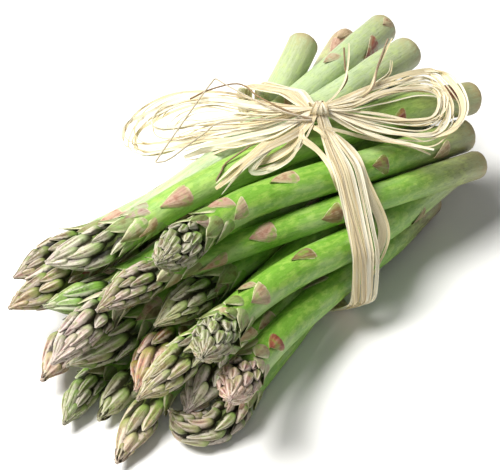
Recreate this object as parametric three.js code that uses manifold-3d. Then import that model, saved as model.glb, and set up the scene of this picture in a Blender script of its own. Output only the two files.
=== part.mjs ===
// A bundle of green asparagus lying on its side, held by a raffia tie with a bow.
// Units are millimetres, +Z is up, +X points to the cut ends and the tips point to -X.
// The origin is on the surface under the tie, where the bundle rests.

import * as THREE from 'three';
import { mergeVertices } from 'three/addons/utils/BufferGeometryUtils.js';
import Module from 'manifold-3d';

const manifoldLibrary = await Module();
manifoldLibrary.setup();

// ---------------------------------------------------------------- driving dimensions

const STEM_SIDES = 10;            // facets round a stem, and columns of the head's scales
const SAMPLE_STEP = 5;            // spacing of the points along a spear while the bundle settles
const SETTLE_ROUNDS = 260;
const HOME_PULL = 0.02;           // pull of a spear back to its own path, per round of the first half
const TIE_SQUEEZE = 0.004;        // pull of the tie towards the bundle's middle, in the same rounds
const TIE_REACH = 30;             // how far along the stems the tie pulls
const TIE_CENTRE = [3, 30];       // middle of the bundle at the tie, in y and z
const PUSH_SPREAD = 6;            // passes that spread a push along the stem
const SPEAR_GAP = 1.0;            // kept between two stems, and filled in part by their bracts
const FLOOR_CLEARANCE = 0.15;     // how far the lowest stems would sink, and are flattened instead
const BRACT_RELIEF = 0.75;        // height of a bract's free tip over the stem
const BRACT_FOOT_RELIEF = 0.6;
const BRACT_LENGTH = 10;
const BRACT_MARGIN = 3;           // bare stem between two bracts, at least
const BRACT_FIRST = 14;           // first bract's distance from the cut end, and its spread
const BRACT_FIRST_SPREAD = 20;
const BRACT_STEP = 40;            // distance between the first two bracts
const BRACT_CROWDING = 0.8;       // each step over the one before it
const BRACT_TURN = 4;             // columns from one bract to the next: five bracts to two turns
const SCALE_RELIEF = 1.15;        // height of a head scale's free tip
const SCALE_FORWARD = 0.7;        // how far the free tip leans forward, over its height
const SCALE_CROWN = 0.75;         // height of the middle of a scale, over that of its tip
const SCALE_PITCH = 4.3;          // distance between two rows of head scales at the head's foot
const SCALE_PITCH_LEAST = 2.9;
const SCALE_CROWDING = 0.955;     // each pitch over the one before it
const LAST_SCALE_LENGTH = 2.6;    // bare point in front of the last row
const LAST_SCALE_CROWN = 0.35;

// Outline of a spear, as shares of its radius and of its head's length.
const BUTT_FLARE = 1.1;
const NECK_TAPER = 0.93;
const TAPER_POWER = 0.7;          // under 1, so most of the narrowing is near the cut end
const HEAD_SWELL = 1.14;
const HEAD_SWELL_END = 0.36;      // where the head has swollen fully
const HEAD_SHOULDER = 0.3;        // from where it narrows to its point
const HEAD_ROUNDNESS = 1.75;
const HEAD_POINTEDNESS = 0.82;
const POINT_RADIUS = 0.5;

const BAND_WIDTH = 11;
const BAND_THICKNESS = 1.3;
const BAND_GROOVE = 0.62;         // thickness between two strips, over that on a strip
const BAND_RIDGES = 4;            // strips that lie side by side in the band
const BAND_STANDOFF = 1.2;        // clear of the stems that it holds
const BAND_LENGTH_STEP = 14;      // longest step round the band
const BAND_TURN_STEP = 0.42;      // largest turn between two steps, in radians
const CIRCLE_POINTS = 48;
const BAND_SLANT_Y = 0.3;         // the band's plane is x = slantY * y + slantZ * z
const BAND_SLANT_Z = 0.1;
const BAND_LIFT_MARGIN = 3;       // the lowest stems are at their full height this far past its edge
const BAND_LIFT_REACH = 22;       // and come down to the surface over this length
const LOOSE_STRIP_WIDTH = 4;
const LOOSE_STRIP_ARCH = 5;       // how far the loose strip arches away from the band
const LOOSE_STRIP_RISE = 1.2;
const LOOSE_STRIP_END_Z = 12;     // height where it has joined the band again
const KNOT_RADIUS = 4.2;
const KNOT_LENGTH = 7;
const STRIP_THICKNESS = 0.9;
const STRIP_SHOULDER = 0.55;      // where a strip starts to thin, from its middle line to its edge
const LOOP_RETURN = 0.8;          // a loop comes back to the knot this far beside its middle
const TAIL_END_WIDTH = 0.45;      // width of a tail's tip over the width of its strip
const BOW_AXIS = new THREE.Vector3(0.78, -0.62, 0).normalize();     // from the left loop to the right
const BOW_FACING = new THREE.Vector3(-0.25, -0.3, 0.92).normalize();  // flat side of its strips
const RAFFIA_GAP = 0.35;

const WELD_DISTANCE = 1e-3;

// ---------------------------------------------------------------- colours and finish

const RAFFIA_CREAM = 0xe9ddba;

// Each spear: path from the cut end to the tip, radius, head length, and how firmly it keeps
// its path while the bundle settles. turn is the angle of its first bract, in degrees.
const SPEARS = [
  { radius: 7.0, head: 34, firm: 1.0, turn: 10, colour: 0x93b860,
    path: [[108, 66, 38], [33, 42, 45], [-2, 40, 39], [-40, 37, 29], [-65, 40, 24], [-95, 43, 22],
      [-116, 44.5, 22]] },
  { radius: 7.1, head: 32, firm: 0.8, turn: 80, colour: 0x8cb457,
    path: [[90, 31, 40], [33, 21, 50], [-5, 22, 52], [-35, 27, 45], [-65, 29, 36], [-104, 28, 28],
      [-126, 31, 24]] },
  { radius: 6.8, head: 33, firm: 1.0, turn: 130, colour: 0x86b84a,
    path: [[88, -6, 38], [47, -1, 51], [1, 3, 59], [-27, 11, 56], [-56, 17, 50], [-88, 23, 40],
      [-109, 34, 34]] },
  { radius: 6.0, head: 32, firm: 0.8, turn: 200, colour: 0x7fb545,
    path: [[82, 18, 36], [40, 12, 41], [0, 5, 45], [-50, 10, 34], [-91, 16, 24], [-115, 30, 20]] },
  { radius: 5.7, head: 31, firm: 1.0, turn: 30, colour: 0x7cbb3c,
    path: [[74, -26, 27.5], [28, -28, 38], [-4, -24, 43], [-39, -16, 44], [-63, -11, 45], [-86, -5, 44],
      [-112, -4, 40]] },
  { radius: 6.9, head: 30, firm: 1.0, turn: 75, colour: 0x79b83a,
    path: [[80, -14, 38], [24, -16, 49], [-2, -14, 53], [-39, -9, 57], [-64, -11, 58], [-81, -17, 62],
      [-95, -23, 68]] },
  { radius: 6.2, head: 32, firm: 0.8, turn: 160, colour: 0x6fae38,
    path: [[78, 12, 26], [30, 0, 29], [-8, -9, 30], [-29, -13, 31], [-65, -17, 31], [-93, -19, 28]] },
  { radius: 6.2, head: 33, firm: 0.8, turn: 250, colour: 0x74b03c,
    path: [[80, 4, 38], [40, -3, 41], [0, -9, 43], [-47, -6, 36], [-70, -4, 35], [-103, -4, 32],
      [-134, -13, 30]] },
  { radius: 6.3, head: 32, firm: 0.6, turn: 310, colour: 0x7db146,
    path: [[80, 32, 36], [40, 25, 40], [0, 18, 43], [-60, 16, 26], [-108, 13, 18], [-133, 3, 16]] },
  { radius: 6.0, head: 33, firm: 0.6, turn: 40, colour: 0x6ea23c,
    path: [[78, 28, 26], [40, 20, 30], [0, 8, 31], [-60, -6, 24], [-100, -12, 22], [-124, -8, 20]] },
  { radius: 5.0, head: 28, firm: 0.8, turn: 95, colour: 0x83b04c,
    path: [[84, 18, 7], [40, 9, 7], [0, -1, 7], [-60, -4, 7], [-116, -6, 8], [-137, -17, 8]] },
  { radius: 5.0, head: 27, firm: 0.8, turn: 150, colour: 0x9abf5a,
    path: [[62, 4, 7], [30, -5, 7], [0, -14, 7], [-60, -14, 8], [-103, -13, 10], [-126, -20, 8]] },
  { radius: 5.4, head: 33, firm: 1.0, turn: 215, colour: 0x8ab650,
    path: [[72, 12, 16], [30, 0, 19], [0, -8, 19], [-50, -20, 16], [-92, -24, 12], [-110, -30, 10],
      [-133, -42, 8]] },
  { radius: 6.0, head: 34, firm: 1.0, turn: 20, colour: 0x7fb748,
    path: [[76, 0, 30], [30, -12, 31], [0, -20, 30], [-40, -25, 26], [-75, -29, 25], [-91, -34, 26],
      [-119, -40, 26]] },
  { radius: 6.4, head: 30, firm: 0.6, turn: 270, colour: 0x8a9f4a,
    path: [[76, 26, 17], [30, 14, 19], [0, 5, 19], [-50, -6, 18], [-89, -16, 17], [-112, -27, 15]] },
  { radius: 6.9, head: 28, firm: 1.0, turn: 120, colour: 0x78b93a,
    path: [[70, -14, 24], [25, -27, 30], [-9, -32, 34], [-32, -32, 37], [-65, -38, 41], [-84, -46, 46],
      [-104, -60, 56]] },
  { radius: 6.6, head: 26, firm: 1.0, turn: 340, colour: 0x72b238,
    path: [[60, -6, 8.5], [24, -17, 14], [-11, -29, 19.5], [-56, -46, 25], [-76, -55, 29], [-87, -61, 34],
      [-101, -72, 42]] },
  { radius: 5.4, head: 36, firm: 1.0, turn: 60, colour: 0x76b53c,
    path: [[14, -15, 7], [-9, -22, 7], [-35, -33, 7], [-58, -42, 7], [-76, -49, 7],
      [-87, -53.5, 7], [-97, -53, 8], [-103, -47, 10], [-103.5, -40, 13]] },
  { radius: 6.2, head: 30, firm: 0.8, turn: 185, colour: 0x7fa94c,
    path: [[36, -5, 21], [0, -17, 21], [-40, -30, 18], [-84, -36, 15], [-105, -46, 15]] },
  { radius: 6.6, head: 32, firm: 0.8, turn: 300, colour: 0x96b766,
    path: [[63.8, 79.9, 47.5], [25, 58, 38], [0, 47, 27], [-45, 44, 13], [-88, 46, 9]] },
  { radius: 5.6, head: 30, firm: 0.5, turn: 15, colour: 0x98b46a,
    path: [[101, 84, 31], [66, 67, 28], [0, 33, 19], [-50, 33, 11], [-90, 32, 7]] },
  { radius: 6.2, head: 30, firm: 0.3, turn: 110, colour: 0x84b04c,
    path: [[84, 44, 30], [40, 32, 30], [0, 21, 30], [-50, 24, 24], [-88, 27, 19]] },
  { radius: 5.8, head: 30, firm: 0.3, turn: 230, colour: 0x84b04c,
    path: [[84, 42, 17], [40, 30, 18], [0, 19, 19], [-50, 12, 18], [-92, 2, 17]] },
  { radius: 5.8, head: 30, firm: 0.3, turn: 330, colour: 0x84b04c,
    path: [[82, 32, 7], [40, 22, 7], [0, 12, 7], [-60, 9, 7], [-100, 6, 7]] },
  { radius: 6.2, head: 30, firm: 0.3, turn: 70, colour: 0x84b04c,
    path: [[90, 54, 8], [40, 38, 7], [0, 25, 7], [-50, 22, 7], [-90, 19, 7]] },
];

// ---------------------------------------------------------------- small helpers

function vector(point) {
  return new THREE.Vector3(point[0], point[1], point[2]);
}

function smoothCurve(points, closed = false) {
  return new THREE.CatmullRomCurve3(points, closed, 'centripetal');
}

// Closed solid from a list of corner points and triangles.
function solidGeometry(points, triangles) {
  const geometry = new THREE.BufferGeometry();
  const positions = points.flatMap((p) => [p.x, p.y, p.z]);
  geometry.setAttribute('position', new THREE.Float32BufferAttribute(positions, 3));
  geometry.setIndex(triangles.flat());
  geometry.computeVertexNormals();
  return geometry;
}

function toManifold(geometry) {
  const bare = geometry.clone();
  bare.deleteAttribute('normal');
  bare.deleteAttribute('uv');
  const merged = mergeVertices(bare, WELD_DISTANCE);
  return new manifoldLibrary.Manifold(new manifoldLibrary.Mesh({
    numProp: 3,
    vertProperties: new Float32Array(merged.attributes.position.array),
    triVerts: new Uint32Array(merged.index.array),
  }));
}

function fromManifold(solid) {
  const mesh = solid.getMesh();
  const geometry = new THREE.BufferGeometry();
  geometry.setAttribute('position', new THREE.Float32BufferAttribute(mesh.vertProperties, 3));
  geometry.setIndex(Array.from(mesh.triVerts));
  geometry.computeVertexNormals();
  return geometry;
}

// ---------------------------------------------------------------- settling the bundle

// Radius of a spear at a distance along it with room for its scales or, as they are far
// apart and may dent their neighbours' gaps, for a part of its bracts.
function outerRadius(spear, distance, length) {
  const relief = distance > length - spear.head ? SCALE_RELIEF * 0.8 : BRACT_RELIEF * 0.2;
  return profileRadius(spear, distance, length) + relief;
}

// Radius of the spear's own surface: slightly flared at the cut end, narrower at the neck,
// swollen at the foot of the head and running to a point.
function profileRadius(spear, distance, length) {
  const headStart = length - spear.head;
  if (distance <= headStart) {
    const t = distance / headStart;
    return spear.radius * (BUTT_FLARE + (NECK_TAPER - BUTT_FLARE) * Math.pow(t, TAPER_POWER));
  }
  const u = Math.min(1, (distance - headStart) / spear.head);
  const swelling = Math.sin(Math.min(1, u / HEAD_SWELL_END) * Math.PI / 2);
  const swell = NECK_TAPER + (HEAD_SWELL - NECK_TAPER) * swelling;
  const past = Math.max(0, (u - HEAD_SHOULDER) / (1 - HEAD_SHOULDER));
  const taper = Math.pow(Math.max(0, 1 - Math.pow(past, HEAD_ROUNDNESS)), HEAD_POINTEDNESS);
  return Math.max(POINT_RADIUS, spear.radius * swell * taper);
}

function samplePath(spear) {
  const curve = smoothCurve(spear.path.map(vector));
  const count = Math.round(curve.getLength() / SAMPLE_STEP);
  curve.arcLengthDivisions = 400;
  return curve.getSpacedPoints(count);
}

// Pushes spears that touch apart until none overlap. The push on each spear is spread along
// its length, so a spear moves and bends a little as a whole and never kinks. In the first
// half of the rounds each spear is also drawn back to its own path, and into the tie.
function settleBundle(spears) {
  const strands = spears.map((spear) => {
    const home = samplePath(spear);
    const length = (home.length - 1) * SAMPLE_STEP;
    return {
      spear,
      home,
      places: home.map((p) => p.clone()),
      radii: home.map((_, i) => outerRadius(spear, i * SAMPLE_STEP, length)),
      moves: home.map(() => new THREE.Vector3()),
    };
  });
  const offset = new THREE.Vector3();
  for (let round = 0; round < SETTLE_ROUNDS; round += 1) {
    const shaping = round < SETTLE_ROUNDS / 2;
    for (const strand of strands) {
      strand.moves.forEach((move) => move.set(0, 0, 0));
    }
    for (let a = 0; a < strands.length; a += 1) {
      for (let b = a + 1; b < strands.length; b += 1) {
        const share = strands[b].spear.firm / (strands[a].spear.firm + strands[b].spear.firm);
        for (let i = 0; i < strands[a].places.length; i += 1) {
          for (let j = 0; j < strands[b].places.length; j += 1) {
            offset.subVectors(strands[a].places[i], strands[b].places[j]);
            const reach = strands[a].radii[i] + strands[b].radii[j] + SPEAR_GAP;
            const distance = offset.length();
            if (distance < reach) {
              offset.multiplyScalar((reach - distance) / Math.max(distance, 0.01));
              strands[a].moves[i].addScaledVector(offset, share * 0.5);
              strands[b].moves[j].addScaledVector(offset, (share - 1) * 0.5);
            }
          }
        }
      }
    }
    for (const strand of strands) {
      spreadMoves(strand.moves, PUSH_SPREAD);
      strand.places.forEach((place, i) => {
        place.add(strand.moves[i]);
        if (shaping) {
          offset.subVectors(strand.home[i], place).multiplyScalar(HOME_PULL * strand.spear.firm);
          place.add(offset);
          const grip = TIE_SQUEEZE * Math.exp(-Math.pow(fromBandPlane(place) / TIE_REACH, 2));
          place.y += (TIE_CENTRE[0] - place.y) * grip;
          place.z += (TIE_CENTRE[1] - place.z) * grip;
        }
      });
      smoothPlaces(strand);
    }
  }
  return strands;
}

function spreadMoves(moves, passes) {
  for (let pass = 0; pass < passes; pass += 1) {
    const before = moves.map((move) => move.clone());
    moves.forEach((move, i) => {
      const left = before[Math.max(0, i - 1)];
      const right = before[Math.min(moves.length - 1, i + 1)];
      move.multiplyScalar(2).add(left).add(right).divideScalar(4);
    });
  }
}

// Keeps the shift from the hand-laid path smooth along the spear.
function smoothPlaces(strand) {
  const shifts = strand.places.map((place, i) => place.clone().sub(strand.home[i]));
  spreadMoves(shifts, 1);
  strand.places.forEach((place, i) => {
    place.copy(strand.home[i]).add(shifts[i]);
    place.z = Math.max(place.z, strand.radii[i] - FLOOR_CLEARANCE + bandLift(place));
  });
}

// Distance of a point from the band's plane.
function fromBandPlane(point) {
  const plane = point.x - BAND_SLANT_Y * point.y - BAND_SLANT_Z * point.z;
  return plane / Math.hypot(1, BAND_SLANT_Y, BAND_SLANT_Z);
}

// The band runs under the bundle, so the lowest stems rise over it.
function bandLift(place) {
  const away = Math.max(0, Math.abs(fromBandPlane(place)) - BAND_WIDTH / 2 - BAND_LIFT_MARGIN);
  return (BAND_THICKNESS + BAND_STANDOFF + FLOOR_CLEARANCE) * Math.exp(-Math.pow(away / BAND_LIFT_REACH, 2));
}

// ---------------------------------------------------------------- one spear

// Sections of a spear across its curve, each with its centre, its radius and two directions
// across it that don't twist.
function spearSections(spear, curve, distances) {
  const length = curve.getLength();
  let across = new THREE.Vector3(0, 0, 1);
  return distances.map((distance) => {
    const centre = curve.getPointAt(distance / length);
    const along = curve.getTangentAt(distance / length);
    across = across.clone().addScaledVector(along, -across.dot(along)).normalize();
    const side = new THREE.Vector3().crossVectors(along, across);
    return { centre, along, across, side, radius: profileRadius(spear, distance, length) };
  });
}

// Point of a section in the direction of a column, height over the spear's surface.
function pointOn(section, column, height = 0) {
  const angle = (column / STEM_SIDES) * Math.PI * 2;
  return section.centre.clone()
    .addScaledVector(section.across, Math.cos(angle) * (section.radius + height))
    .addScaledVector(section.side, Math.sin(angle) * (section.radius + height));
}

function wrapColumn(column) {
  return (column + STEM_SIDES) % STEM_SIDES;
}

// Where the bracts of a stem start, as distances from the cut end: closer towards the head.
function bractStarts(spear, stemLength) {
  const starts = [];
  let place = BRACT_FIRST + BRACT_FIRST_SPREAD * ((spear.turn / 50) % 1);
  let step = BRACT_STEP;
  while (place < stemLength - BRACT_LENGTH - BRACT_MARGIN) {
    starts.push(place);
    place += Math.max(BRACT_LENGTH + BRACT_MARGIN, step);
    step *= BRACT_CROWDING;
  }
  return starts;
}

// Bracts climb the stem in a spiral.
function bractColumnOf(spear, index) {
  const start = Math.round((spear.turn / 360) * STEM_SIDES);
  return (start + index * BRACT_TURN) % STEM_SIDES;
}

// Distances of the rows of scales from the head's foot: closer together towards the tip.
function headRows(spear) {
  const rows = [];
  let place = SCALE_PITCH;
  let pitch = SCALE_PITCH;
  while (place < spear.head - LAST_SCALE_LENGTH) {
    rows.push(place);
    pitch = Math.max(SCALE_PITCH_LEAST, pitch * SCALE_CROWDING);
    place += pitch;
  }
  return rows;
}

// A spear is one mesh: a faceted stem whose bracts rise from it, and a head of overlapping
// scales. What would reach under the surface that the bundle lies on is pressed flat on it.
function spearGeometry(strand) {
  const { spear } = strand;
  const curve = smoothCurve(strand.places);
  const headStart = curve.getLength() - spear.head;
  const bractEnds = bractStarts(spear, headStart).flatMap((start) => [start, start + BRACT_LENGTH]);
  const stemDistances = [0, ...bractEnds, headStart];
  const headDistances = headRows(spear).map((row) => headStart + row);
  const sections = spearSections(spear, curve, stemDistances.concat(headDistances));

  const mesh = { points: [], triangles: [] };
  const neckRing = addStem(mesh, spear, sections.slice(0, stemDistances.length));
  addHead(mesh, sections.slice(stemDistances.length - 1), neckRing, curve.getPointAt(1));
  for (const point of mesh.points) {
    point.z = Math.max(point.z, 0);
  }
  return solidGeometry(mesh.points, mesh.triangles);
}

function addPoint(mesh, point) {
  return mesh.points.push(point) - 1;
}

// The stem's rings and the faces between them, with a bract from each odd ring to the next.
// Gives back the last ring.
function addStem(mesh, spear, sections) {
  const columns = Array.from({ length: STEM_SIDES }, (_, column) => column);
  const rings = sections.map((section) => columns.map((column) => addPoint(mesh, pointOn(section, column))));
  const buttCentre = addPoint(mesh, sections[0].centre.clone());
  for (const column of columns) {
    mesh.triangles.push([buttCentre, rings[0][wrapColumn(column + 1)], rings[0][column]]);
  }
  rings.slice(0, -1).forEach((ring, k) => {
    const next = rings[k + 1];
    const bract = k % 2 === 1 ? bractColumnOf(spear, (k - 1) / 2) : null;
    for (const column of columns) {
      const beside = wrapColumn(column + 1);
      if (bract !== null && beside === bract) {
        mesh.triangles.push([ring[column], next[beside], next[column]]);
      } else if (bract !== null && column === bract) {
        mesh.triangles.push([ring[beside], next[beside], next[column]]);
      } else {
        mesh.triangles.push([ring[column], ring[beside], next[beside]]);
        mesh.triangles.push([ring[column], next[beside], next[column]]);
      }
    }
    if (bract !== null) {
      mesh.points[ring[bract]] = pointOn(sections[k], bract, BRACT_FOOT_RELIEF);
      addBract(mesh, ring, next, bract, pointOn(sections[k + 1], bract, BRACT_RELIEF));
    }
  });
  return rings[rings.length - 1];
}

// Two faces rise from the ring to the bract's free tip, and two close it off underneath.
function addBract(mesh, ring, next, column, tipPlace) {
  const left = ring[wrapColumn(column - 1)];
  const right = ring[wrapColumn(column + 1)];
  const foot = ring[column];
  const lower = next[column];
  const tip = addPoint(mesh, tipPlace);
  mesh.triangles.push([left, foot, tip], [foot, right, tip], [left, tip, lower], [right, lower, tip]);
}

// Scales on a lattice of staggered rows that starts from the last ring of the stem. Each is a
// diamond of four faces round a raised middle, whose tip stands over the foot of the scale in
// front of it. Every place of the lattice has a low point on the head and a high one over it.
function addHead(mesh, sections, neckRing, tipPlace) {
  const rowCount = sections.length - 1;
  const fullRadius = sections[0].radius / NECK_TAPER;
  const lattice = sections.map((section, row) => {
    const places = {};
    for (let column = row % 2; column < STEM_SIDES; column += 2) {
      if (row === 0) {
        places[column] = { low: neckRing[column], high: neckRing[column] };
      } else {
        const relief = SCALE_RELIEF * Math.min(1, section.radius / (fullRadius * 0.6));
        const low = addPoint(mesh, pointOn(section, column));
        const forward = section.along.clone().multiplyScalar(relief * SCALE_FORWARD);
        const high = addPoint(mesh, pointOn(section, column, relief).add(forward));
        places[column] = { low, high };
      }
    }
    return places;
  });
  const apex = addPoint(mesh, tipPlace);
  for (let row = -1; row < rowCount; row += 1) {
    for (let column = (row + 2) % 2; column < STEM_SIDES; column += 2) {
      const isLast = row + 2 > rowCount;
      const left = lattice[row + 1][wrapColumn(column - 1)].low;
      const right = lattice[row + 1][wrapColumn(column + 1)].low;
      const foot = row < 0 ? neckRing[column] : lattice[row][column].low;
      const tip = isLast ? apex : lattice[row + 2][column].high;
      const crown = isLast ? LAST_SCALE_CROWN : SCALE_RELIEF * SCALE_CROWN;
      const middle = addPoint(mesh, pointOn(sections[row + 1], column, crown));
      if (row < 0) {
        // the first scales have no room behind the ring, so their middle is in front of it
        mesh.points[middle].addScaledVector(sections[0].along, SCALE_PITCH * 0.3);
      }
      mesh.triangles.push([foot, middle, left], [foot, right, middle]);
      mesh.triangles.push([left, middle, tip], [right, tip, middle]);
      if (!isLast) {
        const under = lattice[row + 2][column].low;
        mesh.triangles.push([left, tip, under], [right, under, tip]);
      }
    }
  }
}

// ---------------------------------------------------------------- the raffia tie

// Flat closed ribbon along a path: a six-cornered section, thin at both edges. facing(t) is the
// direction that its flat side looks to, and endWidth narrows its far end.
function ribbonGeometry(path, width, steps, facing, endWidth) {
  const curve = smoothCurve(path);
  const half = width / 2;
  const thick = STRIP_THICKNESS / 2;
  const inner = STRIP_SHOULDER;
  const section = [[-1, 0], [-inner, -thick], [inner, -thick], [1, 0], [inner, thick], [-inner, thick]];
  const points = [];
  const triangles = [];
  const sides = section.length;
  for (let k = 0; k <= steps; k += 1) {
    const t = k / steps;
    const centre = curve.getPointAt(t);
    const along = curve.getTangentAt(t);
    const across = new THREE.Vector3().crossVectors(facing(t), along).normalize();
    const up = new THREE.Vector3().crossVectors(along, across);
    const taper = k === steps ? endWidth : 1;
    for (const [x, y] of section) {
      points.push(centre.clone().addScaledVector(across, x * half * taper).addScaledVector(up, y));
    }
  }
  for (let k = 0; k < steps; k += 1) {
    for (let i = 0; i < sides; i += 1) {
      const a = k * sides + i;
      const b = k * sides + ((i + 1) % sides);
      triangles.push([a, b, a + sides], [b, b + sides, a + sides]);
    }
  }
  const last = steps * sides;
  for (let i = 1; i < sides - 1; i += 1) {
    triangles.push([0, i + 1, i], [last, last + i, last + i + 1]);
  }
  return solidGeometry(points, triangles);
}

// Where the spears pass through the band, seen along its width, as circles in (y, z): one for
// each point of a spear that lies in the band.
function tieCrossings(strands) {
  const across = new THREE.Vector3(1, -BAND_SLANT_Y, -BAND_SLANT_Z).normalize();
  const crossings = [];
  for (const strand of strands) {
    const length = (strand.places.length - 1) * SAMPLE_STEP;
    const curve = smoothCurve(strand.places);
    for (let distance = 0; distance < length; distance += 2) {
      const place = curve.getPointAt(distance / length);
      const away = fromBandPlane(place);
      if (Math.abs(away) < BAND_WIDTH / 2 + 2) {
        place.addScaledVector(across, -away);
        crossings.push({ y: place.y, z: place.z, radius: outerRadius(strand.spear, distance, length) });
      }
    }
  }
  return crossings;
}

// The tight loop round the crossings: the edge of the smallest outward-curved shape that holds
// every circle, as corner points in the band's plane, closer together where the edge turns.
function tieLoop(crossings, standoff) {
  const cloud = [];
  for (const { y, z, radius } of crossings) {
    for (let i = 0; i < CIRCLE_POINTS; i += 1) {
      const angle = (i / CIRCLE_POINTS) * Math.PI * 2;
      cloud.push([y + Math.cos(angle) * (radius + standoff), z + Math.sin(angle) * (radius + standoff)]);
    }
  }
  const hull = outerHull(cloud);
  const places = [];
  let due = 1;
  hull.forEach((corner, i) => {
    const before = hull[(i + hull.length - 1) % hull.length];
    const after = hull[(i + 1) % hull.length];
    const edge = [after[0] - corner[0], after[1] - corner[1]];
    const length = Math.hypot(edge[0], edge[1]);
    due += headingChange(before, corner, after) / BAND_TURN_STEP;
    const pieces = Math.max(1, Math.ceil(length));
    for (let k = 0; k < pieces; k += 1) {
      if (due >= 1) {
        const y = corner[0] + (edge[0] * k) / pieces;
        const z = corner[1] + (edge[1] * k) / pieces;
        places.push(new THREE.Vector3(BAND_SLANT_Y * y + BAND_SLANT_Z * z, y, z));
        due = 0;
      }
      due += length / pieces / BAND_LENGTH_STEP;
    }
  });
  return places;
}

function outerHull(cloud) {
  const sorted = cloud.slice().sort((a, b) => a[0] - b[0] || a[1] - b[1]);
  const turn = (o, a, b) => (a[0] - o[0]) * (b[1] - o[1]) - (a[1] - o[1]) * (b[0] - o[0]);
  const halfHull = (list) => {
    const kept = [];
    for (const point of list) {
      while (kept.length > 1 && turn(kept[kept.length - 2], kept[kept.length - 1], point) <= 0) {
        kept.pop();
      }
      kept.push(point);
    }
    return kept.slice(0, -1);
  };
  return halfHull(sorted).concat(halfHull(sorted.slice().reverse()));
}

function headingChange(before, corner, after) {
  const first = Math.atan2(corner[1] - before[1], corner[0] - before[0]);
  const second = Math.atan2(after[1] - corner[1], after[0] - corner[0]);
  return (second - first + 4 * Math.PI) % (2 * Math.PI);
}

// Frames round the loop: place, outward direction and the direction across the band.
function loopFrames(places) {
  const across = new THREE.Vector3(1, -BAND_SLANT_Y, -BAND_SLANT_Z).normalize();
  return places.map((place, k) => {
    const next = places[(k + 1) % places.length].clone().sub(place).normalize();
    const last = place.clone().sub(places[(k + places.length - 1) % places.length]).normalize();
    const along = next.add(last).normalize();
    return { place, across, outward: new THREE.Vector3().crossVectors(along, across) };
  });
}

function bandGeometry(frames) {
  const outer = Array.from({ length: 2 * BAND_RIDGES + 1 }, (_, i) => {
    const depth = BAND_THICKNESS * (i % 2 === 1 ? 1 : BAND_GROOVE);
    return [(i / (2 * BAND_RIDGES) - 0.5) * BAND_WIDTH, depth];
  });
  const section = [...outer, [BAND_WIDTH / 2, 0], [-BAND_WIDTH / 2, 0]];
  const points = [];
  const triangles = [];
  const sides = section.length;
  frames.forEach((frame, k) => {
    for (const [x, y] of section) {
      const point = frame.place.clone().addScaledVector(frame.across, x).addScaledVector(frame.outward, y);
      point.z = point.z < BAND_THICKNESS * 0.5 && y > 0 ? 0 : point.z;
      points.push(point);
    }
    const next = (k + 1) % frames.length;
    for (let i = 0; i < sides; i += 1) {
      const a = k * sides + i;
      const b = k * sides + ((i + 1) % sides);
      const c = next * sides + i;
      const d = next * sides + ((i + 1) % sides);
      triangles.push([a, c, b], [b, c, d]);
    }
  });
  return solidGeometry(points, triangles);
}

// One strip has slipped off the band on the -Y side: it leaves the band by the knot, arches
// beside it towards the cut ends and joins it again low down.
function looseStripGeometry(frames, start) {
  const count = frames.length;
  const first = frames.findIndex((frame) => frame === start) + 1;
  const run = [];
  for (let i = first; frames[i % count].place.z > LOOSE_STRIP_END_Z; i += 1) {
    run.push(frames[i % count]);
  }
  const path = run.map((frame, i) => {
    const arch = Math.sin((Math.PI * i) / (run.length - 1));
    return frame.place.clone()
      .addScaledVector(frame.across, BAND_WIDTH / 2 - 1.5 + LOOSE_STRIP_ARCH * arch)
      .addScaledVector(frame.outward, BAND_THICKNESS / 2 + LOOSE_STRIP_RISE * arch);
  });
  const facing = (t) => run[Math.round(t * (run.length - 1))].outward;
  return ribbonGeometry(path, LOOSE_STRIP_WIDTH, 20, facing, 1);
}

// The bow's strips, each from the knot out through these places; a loop also comes back.
const BOW_STRIPS = [
  { width: 5.5, steps: 22, loop: true,                       // left loop, outer
    path: [[-4, 18, 73], [-11, 34, 71], [-16, 49, 67], [-24, 60, 62], [-34, 65, 58], [-44, 64, 56],
      [-51, 58, 55], [-50, 50, 55], [-43, 43, 57], [-33, 35, 61], [-22, 24, 66], [-10, 14, 70]] },
  { width: 5, steps: 18, loop: true,                         // left loop, inner
    path: [[-11, 17, 75], [-18, 31, 73], [-25, 46, 69], [-34, 53, 65], [-41, 53, 62], [-42, 48, 61],
      [-36, 42, 63], [-27, 32, 67], [-13, 17, 72]] },
  { width: 5.5, steps: 22, loop: true,                       // right loop, outer
    path: [[20, 0, 73], [38, 1, 71], [60, 2, 67], [74, -2, 64], [74, -13, 63], [67, -25, 62], [58, -31, 61],
      [47, -33, 61], [35, -27, 63], [22, -16, 67]] },
  { width: 5, steps: 18, loop: true,                         // right loop, inner
    path: [[20, -4, 75], [40, -3, 70], [59, -6, 67], [66, -13, 65], [61, -21, 64], [52, -26, 64],
      [42, -23, 65], [28, -13, 69]] },
  { width: 5, steps: 8, path: [[-13, 8, 70], [-28, 17, 67], [-35, 22, 65], [-42, 29, 62]] },
  { width: 6, steps: 8, path: [[-8, -2, 68], [-17, -2, 65], [-26, 2, 62]] },
  { width: 4.5, steps: 8, path: [[-10, 6, 69], [-24, 6, 66], [-35, 5, 64], [-43, 5, 61]] },
  { width: 4, steps: 8, path: [[22, 2, 74], [34, 3, 73], [44, 8, 75], [64, 20, 77]] },
  { width: 3, steps: 8, path: [[21, 7, 74], [31, 13, 75], [39, 20, 76], [46, 27, 78]] },
  { width: 4.5, steps: 8, path: [[15, -6, 70], [23, -17, 67], [31, -26, 65], [38, -35, 63]] },
];

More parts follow.
